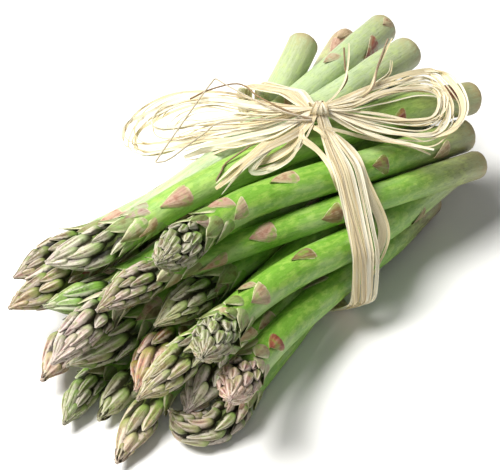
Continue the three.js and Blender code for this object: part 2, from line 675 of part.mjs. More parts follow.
// Short barrel wound round the neck of the bow, across the line from one loop to the other.
function knotGeometry(centre) {
  const half = KNOT_LENGTH / 2;
  const profile = [[0, -half], [0.62, -half], [0.9, -half * 0.72], [1, -half * 0.36], [0.88, 0],
    [1, half * 0.36], [0.9, half * 0.72], [0.62, half], [0, half]];
  const barrel = new THREE.LatheGeometry(profile.map(([r, y]) => new THREE.Vector2(r * KNOT_RADIUS, y)), 12);
  barrel.applyQuaternion(new THREE.Quaternion().setFromUnitVectors(new THREE.Vector3(0, 1, 0), BOW_AXIS));
  barrel.translate(centre.x, centre.y, centre.z);
  return barrel;
}

function bowGeometry(centre) {
  let solid = toManifold(knotGeometry(centre));
  for (const strip of BOW_STRIPS) {
    const places = [centre, ...strip.path.map(vector)];
    if (strip.loop) {
      places.push(centre.clone().addScaledVector(BOW_AXIS, LOOP_RETURN * Math.sign(strip.path[0][0])));
    }
    const endWidth = strip.loop ? 1 : TAIL_END_WIDTH;
    const ribbon = ribbonGeometry(places, strip.width, strip.steps, () => BOW_FACING, endWidth);
    solid = solid.add(toManifold(ribbon));
  }
  const welded = toManifold(fromManifold(outerSkin(solid)));
  return fromManifold(outerSkin(welded));
}

// Where strips cross beside the knot they can seal a small hollow, which is filled here by
// keeping only the outer skin.
function outerSkin(solid) {
  return solid.decompose().reduce((largest, skin) => (skin.volume() > largest.volume() ? skin : largest));
}

// ---------------------------------------------------------------- assembly

const bundle = new THREE.Group();

function addRaffia(name, geometry) {
  const material = new THREE.MeshStandardMaterial({ color: RAFFIA_CREAM, roughness: 0.75, metalness: 0 });
  const mesh = new THREE.Mesh(geometry, material);
  mesh.name = name;
  bundle.add(mesh);
}

const strands = settleBundle(SPEARS);
strands.forEach((strand, i) => {
  const material = new THREE.MeshStandardMaterial({
    color: strand.spear.colour,
    roughness: 0.5,
    metalness: 0,
  });
  const mesh = new THREE.Mesh(spearGeometry(strand), material);
  mesh.name = `spear_${String(i + 1).padStart(2, '0')}`;
  bundle.add(mesh);
});

const crossings = tieCrossings(strands);
const frames = loopFrames(tieLoop(crossings, BAND_STANDOFF));
const highest = frames.reduce((best, frame) => (frame.place.z > best.place.z ? frame : best));
const bandSolid = toManifold(bandGeometry(frames)).add(toManifold(looseStripGeometry(frames, highest)));
addRaffia('raffia_band', fromManifold(outerSkin(bandSolid)));

const knotCentre = highest.place.clone();
knotCentre.z += BAND_THICKNESS + RAFFIA_GAP + KNOT_RADIUS;
addRaffia('raffia_bow', bowGeometry(knotCentre));

export default bundle;
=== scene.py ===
"""Looks of a tied bundle of green asparagus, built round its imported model.

The centre line and thickness of every spear are measured on its solid. The stem, the bracts on
it and the overlapping scales of the head are raised on that line again, as one finer mesh. The
raffia is laid as thin separate strips, round the band and along the bow. Lengths are in
millimetres until a mesh is made, which is in metres.
"""
import math
from typing import NamedTuple

import bpy
import numpy as np
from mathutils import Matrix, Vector


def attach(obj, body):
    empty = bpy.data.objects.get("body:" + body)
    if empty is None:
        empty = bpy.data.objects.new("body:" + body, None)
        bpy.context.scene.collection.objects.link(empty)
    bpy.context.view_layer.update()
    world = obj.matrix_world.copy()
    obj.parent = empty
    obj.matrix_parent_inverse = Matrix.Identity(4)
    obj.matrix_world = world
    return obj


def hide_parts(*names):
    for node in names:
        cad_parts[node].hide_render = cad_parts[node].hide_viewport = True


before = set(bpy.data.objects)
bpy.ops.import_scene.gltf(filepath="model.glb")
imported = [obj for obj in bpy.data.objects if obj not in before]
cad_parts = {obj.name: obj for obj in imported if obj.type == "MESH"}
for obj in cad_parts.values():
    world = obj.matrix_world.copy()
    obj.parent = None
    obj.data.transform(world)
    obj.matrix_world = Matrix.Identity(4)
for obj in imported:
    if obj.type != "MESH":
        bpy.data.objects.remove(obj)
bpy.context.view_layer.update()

MM = 0.001
FLOOR_GAP = 0.02                             # nothing comes nearer to the surface than this

# ---------------------------------------------------------------- camera

IMAGE_SIZE = (500, 470)                      # the photograph's frame
CAMERA_AZIMUTH = math.radians(-40)
CAMERA_ELEVATION = math.radians(42)
CAMERA_PLACE = np.array([-315.7, -339.4, 429.8])
FOCAL_PIXELS = 1440
SENSOR_WIDTH = 36
CLIP_START = 0.01                            # in metres

BACK = np.array([
    math.sin(CAMERA_AZIMUTH) * math.cos(CAMERA_ELEVATION),
    -math.cos(CAMERA_AZIMUTH) * math.cos(CAMERA_ELEVATION),
    math.sin(CAMERA_ELEVATION),
])
RIGHT = np.array([math.cos(CAMERA_AZIMUTH), math.sin(CAMERA_AZIMUTH), 0])
UP = np.cross(BACK, RIGHT)


def make_camera():
    data = bpy.data.cameras.new("camera")
    data.sensor_fit = "HORIZONTAL"
    data.sensor_width = SENSOR_WIDTH
    data.lens = FOCAL_PIXELS / IMAGE_SIZE[0] * SENSOR_WIDTH
    data.clip_start = CLIP_START
    camera = bpy.data.objects.new("camera", data)
    camera.location = CAMERA_PLACE * MM
    camera.rotation_euler = Vector(-BACK).to_track_quat("-Z", "Y").to_euler()
    bpy.context.scene.collection.objects.link(camera)
    bpy.context.scene.camera = camera


def ray_through(pixel):
    """Direction from the camera through a pixel of the photograph."""
    across = pixel[0] - IMAGE_SIZE[0] / 2
    down = pixel[1] - IMAGE_SIZE[1] / 2
    ray = RIGHT * across - UP * down - BACK * FOCAL_PIXELS
    return ray / np.linalg.norm(ray)


# ---------------------------------------------------------------- meshes

STEM, SCALE, CUT_FACE = 0, 1, 2              # a spear's material indices


class Build:
    """Collects the vertices, faces and attributes of one piece."""

    def __init__(self):
        self.points, self.faces, self.indices = [], [], []
        self.attributes = {"tint": [], "foot": [], "leaf": [], "skin": []}
        self.count = 0

    def add(self, points, faces, index=0, **attributes):
        """attributes are arrays of three numbers a point, or one triple for all points."""
        points = np.asarray(points, float).reshape(-1, 3)
        for name, rows in self.attributes.items():
            value = np.asarray(attributes.get(name, (0, 0, 0)), float).reshape(-1, 3)
            rows.append(np.broadcast_to(value, points.shape))
        self.points.append(points)
        self.add_faces((np.asarray(faces) + self.count).tolist(), index)
        self.count += len(points)

    def add_faces(self, faces, index=0):
        """Faces between points that are already there, as rows of their numbers."""
        self.faces.extend(tuple(int(i) for i in face) for face in faces)
        self.indices.extend([index] * len(faces))

    def finish(self, name, materials, sharp_angle):
        mesh = bpy.data.meshes.new(name)
        mesh.from_pydata((np.concatenate(self.points) * MM).tolist(), [], self.faces)
        for material in materials:
            mesh.materials.append(material)
        mesh.polygons.foreach_set("material_index", self.indices)
        for key, rows in self.attributes.items():
            layer = mesh.attributes.new(key, "FLOAT_VECTOR", "POINT")
            layer.data.foreach_set("vector", np.concatenate(rows).astype(np.float32).ravel())
        mesh.polygons.foreach_set("use_smooth", [True] * len(self.faces))
        mesh.set_sharp_from_angle(angle=sharp_angle)
        mesh.update()
        piece = bpy.data.objects.new(name, mesh)
        bpy.context.scene.collection.objects.link(piece)
        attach(piece, "root")
        return piece


def grid_faces(rows, columns, first=0, flip=False):
    """Quads between the points of a grid, as index rows."""
    corner = first + np.arange(rows - 1)[:, None] * columns + np.arange(columns - 1)[None, :]
    quads = np.stack([corner, corner + 1, corner + columns + 1, corner + columns], -1).reshape(-1, 4)
    return quads[:, ::-1] if flip else quads


def shell_faces(rows, columns):
    """Faces of a closed shell: a front grid, a back grid after it, and the rim between them."""
    size = rows * columns
    index = np.arange(size).reshape(rows, columns)
    rim = np.concatenate([index[0, :], index[1:, -1], index[-1, -2::-1], index[-2:0:-1, 0]])
    ahead = np.roll(rim, -1)
    band = np.stack([rim, rim + size, ahead + size, ahead], -1)
    return np.concatenate([grid_faces(rows, columns), grid_faces(rows, columns, size, True), band])


def tube_faces(rows, sides):
    """Quads between closed rings of points."""
    row, side = np.arange(rows - 1)[:, None] * sides, np.arange(sides)[None, :]
    corner, beside = row + side, row + (side + 1) % sides
    return np.stack([corner, beside, beside + sides, corner + sides], -1).reshape(-1, 4)


def fan(ring, apex):
    """Triangles from a ring of points to one point."""
    return [(here, there, apex) for here, there in zip(ring, np.roll(ring, -1))]


def smooth(values, passes):
    """Running average that keeps both ends."""
    values = np.array(values, float)
    for _ in range(passes):
        values[1:-1] = (values[:-2] + 2 * values[1:-1] + values[2:]) / 4
    return values


def unit(vectors):
    return vectors / np.linalg.norm(vectors, axis=-1, keepdims=True)


def ease(value, low, high):
    """0 below low, 1 above high, and smooth between them."""
    t = np.clip((value - low) / (high - low), 0, 1)
    return t * t * (3 - 2 * t)


def colour(red, green, blue):
    """Linear colour of an sRGB triple from 0 to 255."""
    value = np.array([red, green, blue]) / 255
    return np.where(value <= 0.04045, value / 12.92, ((value + 0.055) / 1.055) ** 2.4)


# ---------------------------------------------------------------- measuring a spear

START_PLACES = (4, 0, -4)                    # sections here, along X, give a spear's first direction
EVERYWHERE = 1000                            # reach of a section that keeps all that it cuts
WALK_STEP = 2.0
SECTION_REACH = 1.9                          # how far a section is looked for, over the radius
LEAST_RADIUS = 3                             # that the next section's reach is measured from
FACET_AREA = 5 * math.sin(math.radians(36))  # area of a ten-sided section of radius 1
POINT_RADIUS = 0.4                           # of the very tip
BLUNT_PLACE, BLUNT_REACH = 5, 5              # a blunt tip is thickest here, and over this length
HEAD_DEPTH = 0.45                            # the solid's scales stand this far over the head's skin


def triangles_of(node):
    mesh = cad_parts[node].data
    mesh.calc_loop_triangles()
    corners = np.empty(len(mesh.vertices) * 3)
    mesh.vertices.foreach_get("co", corners)
    indices = np.empty(len(mesh.loop_triangles) * 3, np.int64)
    mesh.loop_triangles.foreach_get("vertices", indices)
    return (corners.reshape(-1, 3) / MM)[indices.reshape(-1, 3)]


def section(triangles, place, normal, reach):
    """Centre and area of the section that a plane cuts near a place, or None."""
    height = (triangles - place) @ normal
    above = height > 0
    cut = above.any(1) & ~above.all(1)
    triangles, height, above = triangles[cut], height[cut], above[cut]
    lone = np.where(above.sum(1) == 1, above.argmax(1), (~above).argmax(1))
    row = np.arange(len(lone))
    apex, apex_height = triangles[row, lone], height[row, lone]
    ends = []
    for step in (1, 2):
        other = (lone + step) % 3
        share = apex_height / (apex_height - height[row, other])
        ends.append(apex + (triangles[row, other] - apex) * share[:, None])
    turned = (above.sum(1) == 1)[:, None]
    start = np.where(turned, ends[0], ends[1]) - place
    end = np.where(turned, ends[1], ends[0]) - place
    near = np.linalg.norm(start + end, axis=1) / 2 < reach
    start, end = start[near], end[near]
    areas = np.cross(start, end) @ normal / 2
    area = areas.sum()
    if abs(area) < 1:
        return None
    centre = ((start + end) * areas[:, None]).sum(0) / 3 / area
    return place + centre, abs(area)


def walk(triangles, place, direction, radius):
    """Centres and radii of sections from a place to the end of the solid."""
    corners = triangles.reshape(-1, 3)
    places, radii = [], []
    while True:
        found = section(triangles, place + direction * WALK_STEP, direction, radius * SECTION_REACH)
        if found is None:
            near = corners[np.linalg.norm(corners - place, axis=1) < radius * SECTION_REACH + WALK_STEP]
            ahead = ((near - place) @ direction).max()
            places.append(place + direction * max(ahead, 0.1))
            radii.append(radii[-1])
            return places, radii
        direction = unit(direction + unit(found[0] - place))
        place = found[0]
        radii.append(math.sqrt(found[1] / FACET_AREA))
        radius = max(radii[-1], LEAST_RADIUS)
        places.append(place)


class Spear:
    """A spear's centre line, radius and directions across it, each millimetre along it."""

    def __init__(self, number, head, blunt):
        self.node = f"spear_{number:02d}"
        triangles = triangles_of(self.node)
        towards_tip = np.array([-1.0, 0, 0])
        starts = [np.array([x, 0.0, 0.0]) for x in START_PLACES]
        sections = [section(triangles, start, towards_tip, EVERYWHERE) for start in starts]
        direction = unit(sections[2][0] - sections[0][0])
        middle, area = sections[1]
        radius = math.sqrt(area / FACET_AREA)
        to_tip, tip_radii = walk(triangles, middle, direction, radius)
        to_butt, butt_radii = walk(triangles, middle, -direction, radius)
        places = smooth(np.array(to_butt[::-1] + [middle] + to_tip), 4)
        radii = np.array(butt_radii[::-1] + [radius] + tip_radii)
        steps = np.linalg.norm(np.diff(places, axis=0), axis=1)
        distances = np.concatenate([[0], np.cumsum(steps)])
        self.length = distances[-1]
        self.head = head
        self.neck = self.length - head
        self.distance = np.linspace(0, self.length, int(self.length) + 1)
        self.centre = smooth(self._along(distances, places, self.distance), 6)
        self.along = unit(smooth(np.gradient(self.centre, axis=0), 3))
        in_head = ease(distances, self.neck - 2, self.neck + 4)
        radii = smooth(radii - HEAD_DEPTH * in_head, 3)
        radii[-1] = POINT_RADIUS
        self.radius = smooth(np.interp(self.distance, distances, radii), 2)
        before_tip = self.length - self.distance - BLUNT_PLACE
        self.radius *= 1 + blunt * np.exp(-(before_tip / BLUNT_REACH) ** 2)
        self.across, self.side = self._directions()

    @staticmethod
    def _along(distances, values, wanted):
        return np.stack([np.interp(wanted, distances, values[:, i]) for i in range(3)], -1)

    def _directions(self):
        across = np.empty_like(self.centre)
        last = np.array([0.0, 0, 1])
        for i, along in enumerate(self.along):
            last = unit(last - along * (last @ along))
            across[i] = last
        return across, np.cross(self.along, across)

    def at(self, distance):
        """Centre, direction along, the two directions across and the radius, at distances."""
        distance = np.asarray(distance, float)
        inside = np.clip(distance, 0, self.length)
        centre, along, across, side = (
            self._along(self.distance, values, inside)
            for values in (self.centre, self.along, self.across, self.side)
        )
        centre = centre + along * (distance - inside)[..., None]
        return centre, along, across, side, np.interp(inside, self.distance, self.radius)

    def hit(self, ray):
        """Where a ray from the camera meets the spear: (depth, distance, angle), or None."""
        offset = self.centre - CAMERA_PLACE
        depth = offset @ ray
        gap = np.linalg.norm(offset - depth[:, None] * ray, axis=1)
        inside = np.where(gap < self.radius)[0]
        if not len(inside):
            return None
        depth = (depth[inside] - np.sqrt(self.radius[inside] ** 2 - gap[inside] ** 2)).min()
        place = CAMERA_PLACE + ray * depth
        nearest = np.linalg.norm(self.centre - place, axis=1).argmin()
        outward = place - self.centre[nearest]
        angle = math.atan2(outward @ self.side[nearest], outward @ self.across[nearest])
        return depth, self.distance[nearest], angle


# ---------------------------------------------------------------- scales and bracts

def directions(spot, turn):
    """Outward from a spear and sideways round it, at an angle."""
    _, _, across, side, _ = spot
    turn = turn[..., None]
    return np.cos(turn) * across + np.sin(turn) * side, np.cos(turn) * side - np.sin(turn) * across


def wrapped(spot, turn, lift, across, tightest):
    """Points lift above a spear's surface, bent round it no tighter than this radius."""
    centre, _, _, _, radius = spot
    outward, sideways = directions(spot, turn)
    wrap = np.maximum(radius + lift, tightest)
    bend = across / wrap
    out = radius + lift - wrap + wrap * np.cos(bend)
    return centre + outward * out[..., None] + sideways * (wrap * np.sin(bend))[..., None]


def over_floor(points):
    points[..., 2] = np.maximum(points[..., 2], FLOOR_GAP)
    return points


class Leaf(NamedTuple):
    """Shape of a loose leaf. Lengths are in mm, v runs from its foot to its tip."""
    length: float
    width: float
    point: float                    # how sharp its tip is
    foot: float                     # width at its foot over its full width
    sink: float                     # depth of its foot under the surface
    rise: float                     # from there to its tip
    bulge: float                    # of its middle
    tuck: float                     # of its edges, down to the surface
    arc: float                      # how far the middle of its foot reaches back
    curl: float                     # of its tip, away from the stem
    tilt: float                     # of one edge up and the other down
    twist: float                    # of its tip round the stem


LEAF_FULLNESS = 1.35                         # how far a leaf stays wide
LEAF_THICKNESS = 0.3
LEAF_THIN_RADIUS = 4.0                       # leaves lie flatter on a stem thinner than this


def add_leaf(build, spear, start, angle, leaf, tint, foot, seed, detail):
    columns, rows = detail
    v, u = np.meshgrid(np.linspace(0, 1, rows) ** 0.9, np.linspace(-1, 1, columns), indexing="ij")
    outline = (1 - v ** LEAF_FULLNESS * 0.985) ** leaf.point
    outline = outline * (leaf.foot + (1 - leaf.foot) * ease(v, 0, 0.35))
    spot = spear.at(start + v * leaf.length - leaf.arc * (1 - v) * (1 - u * u))
    room = np.clip(spot[4] / LEAF_THIN_RADIUS, 0.2, 1)
    height = -leaf.sink + leaf.rise * v + leaf.bulge * np.sin(math.pi * np.minimum(1, v ** 0.8)) * (1 - u * u)
    height = height - leaf.tuck * u * u * (1 - 0.5 * v) + leaf.curl * v ** 3 + leaf.tilt * u * v
    height = height * room
    thick = LEAF_THICKNESS * (1 - 0.55 * np.abs(u)) * (1 - 0.5 * v) * room
    sides = [
        wrapped(spot, angle + leaf.twist * v, lift, u * outline * leaf.width / 2, leaf.width * 0.36)
        for lift in (height, height - thick)
    ]
    marks = np.stack([u, v, np.full_like(u, seed)], -1).reshape(-1, 3)
    build.add(over_floor(np.array(sides)), shell_faces(rows, columns), SCALE,
              tint=tint, foot=foot, leaf=np.tile(marks, (2, 1)))


class Bud(NamedTuple):
    """Shape of one scale of a head: a teardrop, full near its foot and pointed at its tip."""
    length: float
    width: float
    crest: float                    # height of its fullest place over the head's skin
    tip: float                      # and of its tip
    twist: float
    point: float                    # how long it stays wide
    tilt: float
    flare: float                    # of its tip, outwards


BUD_ROWS, BUD_COLUMNS = 12, 13
BUD_FULL = 0.34                              # share of its length at which a bud is fullest
BUD_FOOT = 0.3                               # width at its foot over its full width
BUD_KEEL = 1.7                               # shape of its cross-section: 1 is a roof, 2 is round
BUD_SINK = 1.8                               # depth of its foot under the head's skin
BUD_EDGE = -1.7                              # height of its edges at the foot
BUD_UNDER = 0.5                              # its closed underside lies this far below the edges
BUD_RIDGE = 0.2                              # height of the ridges along it
RIDGE_ACROSS, RIDGE_SHIFT, RIDGE_ALONG = 8.0, 6, 1.5       # their phase over u, seed and v
BUD_THIN_RADIUS = 3.5                        # buds are lower where the head is thinner than this


def add_bud(build, spear, start, angle, bud, tint, foot, seed):
    v, u = np.meshgrid(np.linspace(0, 1, BUD_ROWS), np.linspace(-1, 1, BUD_COLUMNS), indexing="ij")
    grown = np.sin(np.clip(v / BUD_FULL, 0, 1) * math.pi / 2)
    t = np.clip((v - BUD_FULL) / (1 - BUD_FULL), 0, 1)
    half = bud.width / 2 * (BUD_FOOT + (1 - BUD_FOOT) * grown) * (1 - 0.97 * t ** bud.point) ** 0.85
    crest = -BUD_SINK + (bud.crest + BUD_SINK) * grown + (bud.tip - bud.crest) * t + bud.flare * t ** 3
    edge = BUD_EDGE + (bud.tip + bud.flare - 0.35 - BUD_EDGE) * t ** 2
    arch = (1 - np.abs(u) ** BUD_KEEL) ** 0.8
    ridge = BUD_RIDGE * np.cos(u * RIDGE_ACROSS + seed * RIDGE_SHIFT + v * RIDGE_ALONG) * (1 - u * u) * grown
    ridge = ridge + BUD_RIDGE * np.exp(-(u / 0.18) ** 2) * t
    height = edge + (crest - edge) * arch + ridge + bud.tilt * u * v
    spot = spear.at(start + v * bud.length)
    centre, _, _, _, radius = spot
    room = np.clip(radius / BUD_THIN_RADIUS, 0.45, 1)
    turn = angle + bud.twist * v
    front = wrapped(spot, turn, height * room, u * half, bud.width * 0.4)
    middle = BUD_COLUMNS // 2
    depth = (radius + (edge - BUD_UNDER) * room)[:, middle]
    under = centre[:, middle] + directions(spot, turn)[0][:, middle] * depth[:, None]
    points = over_floor(np.concatenate([front.reshape(-1, 3), under]))
    size = BUD_ROWS * BUD_COLUMNS
    row = np.arange(BUD_ROWS - 1)
    left, right, below = row * BUD_COLUMNS, (row + 1) * BUD_COLUMNS - 1, row + size
    under_left = np.stack([left, left + BUD_COLUMNS, below + 1, below], -1)
    under_right = np.stack([below, below + 1, right + BUD_COLUMNS, right], -1)
    marks = np.concatenate([
        np.stack([u, v, np.full_like(u, seed)], -1).reshape(-1, 3),
        np.column_stack([np.ones(BUD_ROWS), v[:, 0], np.full(BUD_ROWS, seed)]),
    ])
    first = build.count
    quads = np.concatenate([grid_faces(BUD_ROWS, BUD_COLUMNS), under_left, under_right])
    build.add(points, quads, SCALE, tint=tint, foot=foot, leaf=marks)
    back = [*range(BUD_COLUMNS - 1, -1, -1), size]
    tip = [*range(size - BUD_COLUMNS, size), size + BUD_ROWS - 1]
    build.add_faces([[first + i for i in end] for end in (back, tip)], SCALE)


# ---------------------------------------------------------------- how each spear looks

MAUVE = colour(192, 172, 168)
TAN = colour(156, 124, 100)
CREAM = colour(164, 160, 120)
OLIVE = colour(134, 142, 100)
BROWN = colour(118, 104, 84)
PINK = colour(188, 146, 136)
RED = colour(158, 82, 60)
GREY = colour(122, 116, 90)
DUSK = colour(140, 112, 96)
ROSE = colour(174, 144, 116)
TAUPE = colour(142, 130, 104)
FAWN = colour(164, 144, 106)
LIME = colour(196, 190, 146)
BRACT_TAN = colour(186, 166, 132)
BRACT_PINK = colour(190, 156, 134)
BRACT_MAUVE = colour(170, 148, 134)
BRACT_RED = colour(150, 88, 66)
BRACT_BROWN = colour(132, 112, 74)
LEAF_GREEN = colour(120, 170, 58)
# partly painted light: a paler green for a brightly lit stem, beside its own waxy green
MID_GREEN = colour(146, 186, 86)
SCALE_GREEN = colour(114, 164, 54)
# painted shade: near-black green on the head's core, standing in for the shade in the gaps between its scales
CORE_SHADE_GREEN = colour(34, 40, 18)
# pale grey-green: partly the stems' own waxy bloom and partly painted light on the brightly lit stems
PALE_GREEN = colour(184, 202, 160)
KHAKI = colour(158, 152, 120)
GREY_CREAM = colour(180, 188, 148)
PURPLE_BROWN = colour(128, 100, 92)
DRY_EDGE = colour(178, 158, 118)


class Look(NamedTuple):
    """Head length and scale shape of a spear, and its colours."""
    head: float
    tint: np.ndarray
    size: float                     # width of its scales, over the usual
    slender: float                  # length of a scale over its width
    green: float                    # how far its scales go to green
    skin: np.ndarray = LEAF_GREEN
    butt: np.ndarray = GREY_CREAM   # at the cut end
    full: float = 1.0               # how far its scales bulge
    blunt: float = 0.0              # how much thicker it is just before its tip


LOOKS = [
    Look(34, DUSK, 1.1, 2.0, 0.15, PALE_GREEN),
    Look(32, TAN, 1.1, 2.1, 0.1, PALE_GREEN),
    Look(33, MAUVE, 1.1, 2.1, 0.3, MID_GREEN, KHAKI),
    Look(32, OLIVE, 1.35, 2.3, 0.6),
    Look(31, DUSK, 1.0, 2.2, 0.1, LEAF_GREEN, KHAKI),
    Look(30, GREY, 1.05, 1.45, 0.2, LEAF_GREEN, KHAKI),
    Look(32, LIME, 1.1, 2.0, 0.5),
    Look(33, MAUVE, 1.05, 1.9, 0.0),
    Look(32, PINK, 1.5, 2.5, 0.1),
    Look(33, BROWN, 1.2, 2.3, 0.4),
    Look(28, GREY, 1.2, 2.3, 0.3),
    Look(27, LIME, 1.9, 2.3, 0.3),
    Look(33, ROSE, 1.8, 2.1, 0.15),
    Look(34, FAWN, 1.0, 2.3, 0.2),
    Look(30, RED, 1.4, 2.0, 0.1, full=1.5),
    Look(28, TAUPE, 1.05, 1.35, 0.3, full=0.8),
    Look(26, PINK, 1.15, 1.35, 0.0, LEAF_GREEN, PURPLE_BROWN, full=0.8),
    Look(36, TAUPE, 1.1, 1.8, 0.05, full=1.5, blunt=0.7),
    Look(30, MAUVE, 1.25, 2.2, 0.1, full=1.7),
    Look(32, MAUVE, 1.05, 2.2, 0.3, PALE_GREEN),
    Look(30, CREAM, 1.1, 2.2, 0.3, PALE_GREEN, BRACT_PINK),
    Look(30, TAN, 1.1, 2.2, 0.3),
    Look(30, MAUVE, 1.1, 2.2, 0.3),
    Look(30, OLIVE, 1.1, 2.2, 0.4),
    Look(30, TAN, 1.1, 2.2, 0.3),
]

# Bracts in the photograph: the pixel at their middle, length and width in mm, colour and how
# far their tip curls away. Each is laid on the stem that is in front at its pixel.
SEEN_BRACTS = [
    ((123, 241), 11, 8, BRACT_PINK, 0.3), ((152, 229), 9, 6, BRACT_TAN, 0.5),
    ((178, 201), 12, 8, BRACT_PINK, 0.2), ((201, 221), 9, 9, BRACT_MAUVE, 1.2),
    ((183, 217), 9, 8, BRACT_TAN, 0.3), ((240, 211), 10, 7, BRACT_TAN, 1.0),
    ((218, 203), 10, 9, BRACT_PINK, 0.2), ((216, 264), 12, 6, BRACT_PINK, 0.4),
    ((172, 266), 11, 7, BRACT_PINK, 0.5), ((262, 233), 11, 8, BRACT_PINK, 0.2),
    ((283, 176), 12, 8, BRACT_TAN, 0.3), ((334, 217), 9, 8, BRACT_BROWN, 0.2),
    ((312, 204), 9, 5, BRACT_TAN, 0.8), ((382, 167), 9, 7, BRACT_BROWN, 0.4),
    ((399, 120), 9, 8, BRACT_RED, 0.2), ((447, 90), 9, 8, BRACT_RED, 0.2),
    ((442, 152), 10, 6, BRACT_TAN, 0.5), ((372, 50), 13, 9, BRACT_RED, 0.3),
    ((292, 99), 11, 10, BRACT_PINK, 0.3), ((302, 255), 10, 6, BRACT_BROWN, 0.2),
    ((313, 283), 11, 7, BRACT_MAUVE, 0.4), ((262, 298), 11, 9, BRACT_TAN, 0.2),
    ((227, 313), 9, 8, BRACT_TAN, 0.7), ((242, 333), 11, 7, BRACT_TAN, 0.8),
    ((277, 344), 9, 7, BRACT_RED, 0.4), ((268, 322), 9, 6, BRACT_TAN, 0.8),
    ((246, 357), 9, 7, BRACT_RED, 0.8), ((247, 402), 9, 7, BRACT_PINK, 0.5),
    ((233, 419), 9, 7, BRACT_MAUVE, 1.0), ((223, 287), 9, 7, BRACT_MAUVE, 0.8),
    ((336, 46), 14, 6, BRACT_PINK, 1.2), ((342, 34), 11, 5, BRACT_TAN, 1.8),
    ((350, 28), 9, 5, BRACT_PINK, 1.4), ((330, 58), 11, 6, BRACT_TAN, 0.6),
    ((388, 24), 7, 6, BRACT_TAN, 0.3), ((284, 38), 7, 6, BRACT_TAN, 0.3),
    ((96, 232), 10, 8, BRACT_MAUVE, 0.7), ((112, 218), 10, 8, BRACT_PINK, 0.4),
    ((136, 212), 9, 7, BRACT_MAUVE, 0.4), ((243, 287), 9, 6, BRACT_TAN, 1.0),
    ((150, 311), 12, 8, BRACT_TAN, 0.4), ((418, 219), 10, 7, BRACT_BROWN, 0.2),
]

# Bracts on the sides that the photograph doesn't show keep to the solids' rule.
BRACT_FIRST, BRACT_FIRST_SPREAD = 14, 20     # how far the first is from the cut end
BRACT_STEP = 40                              # from the first to the second, then less and less
BRACT_CROWDING = 0.8
BRACT_CLOSEST = 7.8
BRACT_TURN = math.radians(144)
BRACT_CLEAR = 12                             # between two bracts, along or round the stem
BRACT_MIDDLE = 5                             # from its foot
BRACT_END = 4                                # the last starts this far before the head
HEAD_MARGIN = 2                              # a bract's pixel may be this far into the head
VIEW_DEPTH = 1.5                             # a spot this near to what its pixel shows is in view


def first_hit(spears, pixel):
    """The spear in front at a pixel, with the distance and angle of that spot on it."""
    ray = ray_through(pixel)
    hits = [(spear.hit(ray), spear) for spear in spears]
    hits = [(hit, spear) for hit, spear in hits if hit]
    if not hits:
        return None
    (depth, distance, angle), spear = min(hits, key=lambda pair: pair[0][0])
    return spear, distance, angle, depth


def pixel_of(place):
    offset = place - CAMERA_PLACE
    depth = -(offset @ BACK)
    x = IMAGE_SIZE[0] / 2 + FOCAL_PIXELS * (offset @ RIGHT) / depth
    y = IMAGE_SIZE[1] / 2 - FOCAL_PIXELS * (offset @ UP) / depth
    return (x, y), np.linalg.norm(offset)


def place_bracts(spears, rng):
    """Bracts of each spear as rows of (foot distance, angle, length, width, tint, curl)."""
    bracts = {spear.node: [] for spear in spears}
    for pixel, length, width, tint, curl in SEEN_BRACTS:
        found = first_hit(spears, pixel)
        if found and found[1] < found[0].neck + HEAD_MARGIN:
            spear, distance, angle, _ = found
            bracts[spear.node].append((distance - length / 2, angle, length, width, tint, curl))
    for spear in spears:
        start, step = BRACT_FIRST + rng.uniform(0, BRACT_FIRST_SPREAD), BRACT_STEP
        angle = rng.uniform(0, 2 * math.pi)
        while start < spear.neck - BRACT_END:
            centre, _, across, side, radius = spear.at(start + BRACT_MIDDLE)
            spot = centre + radius * (across * math.cos(angle) + side * math.sin(angle))
            pixel, depth = pixel_of(spot)
            front = first_hit(spears, pixel)
            seen = front is not None and abs(front[3] - depth) < VIEW_DEPTH
            crowded = any(
                abs(start - row[0]) < BRACT_CLEAR
                and abs((angle - row[1] + math.pi) % (2 * math.pi) - math.pi) * radius < BRACT_CLEAR
                for row in bracts[spear.node]
            )
            if not seen and not crowded:
                tint = (BRACT_PINK, BRACT_TAN, BRACT_MAUVE, BRACT_RED)[rng.integers(4)]
                row = (start, angle, rng.uniform(9, 12), rng.uniform(6.5, 8.5), tint, rng.uniform(0.1, 0.7))
                bracts[spear.node].append(row)
            start += max(BRACT_CLOSEST, step)
            step *= BRACT_CROWDING
            angle += BRACT_TURN
    return bracts


# ---------------------------------------------------------------- one spear

STEM_SIDES = 30
STEM_STEP = 2.0
STEM_END = 0.5                               # its last ring is this far before the tip
CORE_DEPTH = 2.1                             # the head's core under its scales
CORE_RADIUS = 0.15                           # at the least
RIB_DEPTH = 0.05
RIB_COUNT = 13
SWAY_DEPTH = 0.12
BUTT_BEVEL = 1.5
BEVEL_RINGS = (0, 0.12, 0.45)                # places along the bevel, over its length
CUT_RINGS = (0.72, 0.4)                      # radii over the rim's
CUT_HOLLOW = 0.5
BUTT_FADE = (4, 60)                          # the cut end's colour fades between these distances
DRY_FADE = (0.5, 3.5)
HEAD_SEED = 100                              # added to a spear's number
SHARP_ANGLE = math.radians(50)
BRACT_MARK = 2                               # added to a bract's seed, which tells it from a scale
LEAFY_MARK = 4                               # added to the seed of a loose leaf of the neck
GOLDEN_TURN = math.radians(137.5)
NECK_LENGTH = 15                             # loose leaves start this far behind the neck
NECK_LEAVES = 10
SCALE_SHARE = 0.68                           # of a scale's length times width that shows
SCALE_WIDTHS = (2.2, 5.4)                    # narrowest and widest, before a look's size
SCALE_OVERHANG = 0.7                         # how far a scale may reach past the tip
HEAD_END = 1.4                               # no scale starts nearer to the tip


def blend(tint, other, share):
    return tint + (other - tint) * share


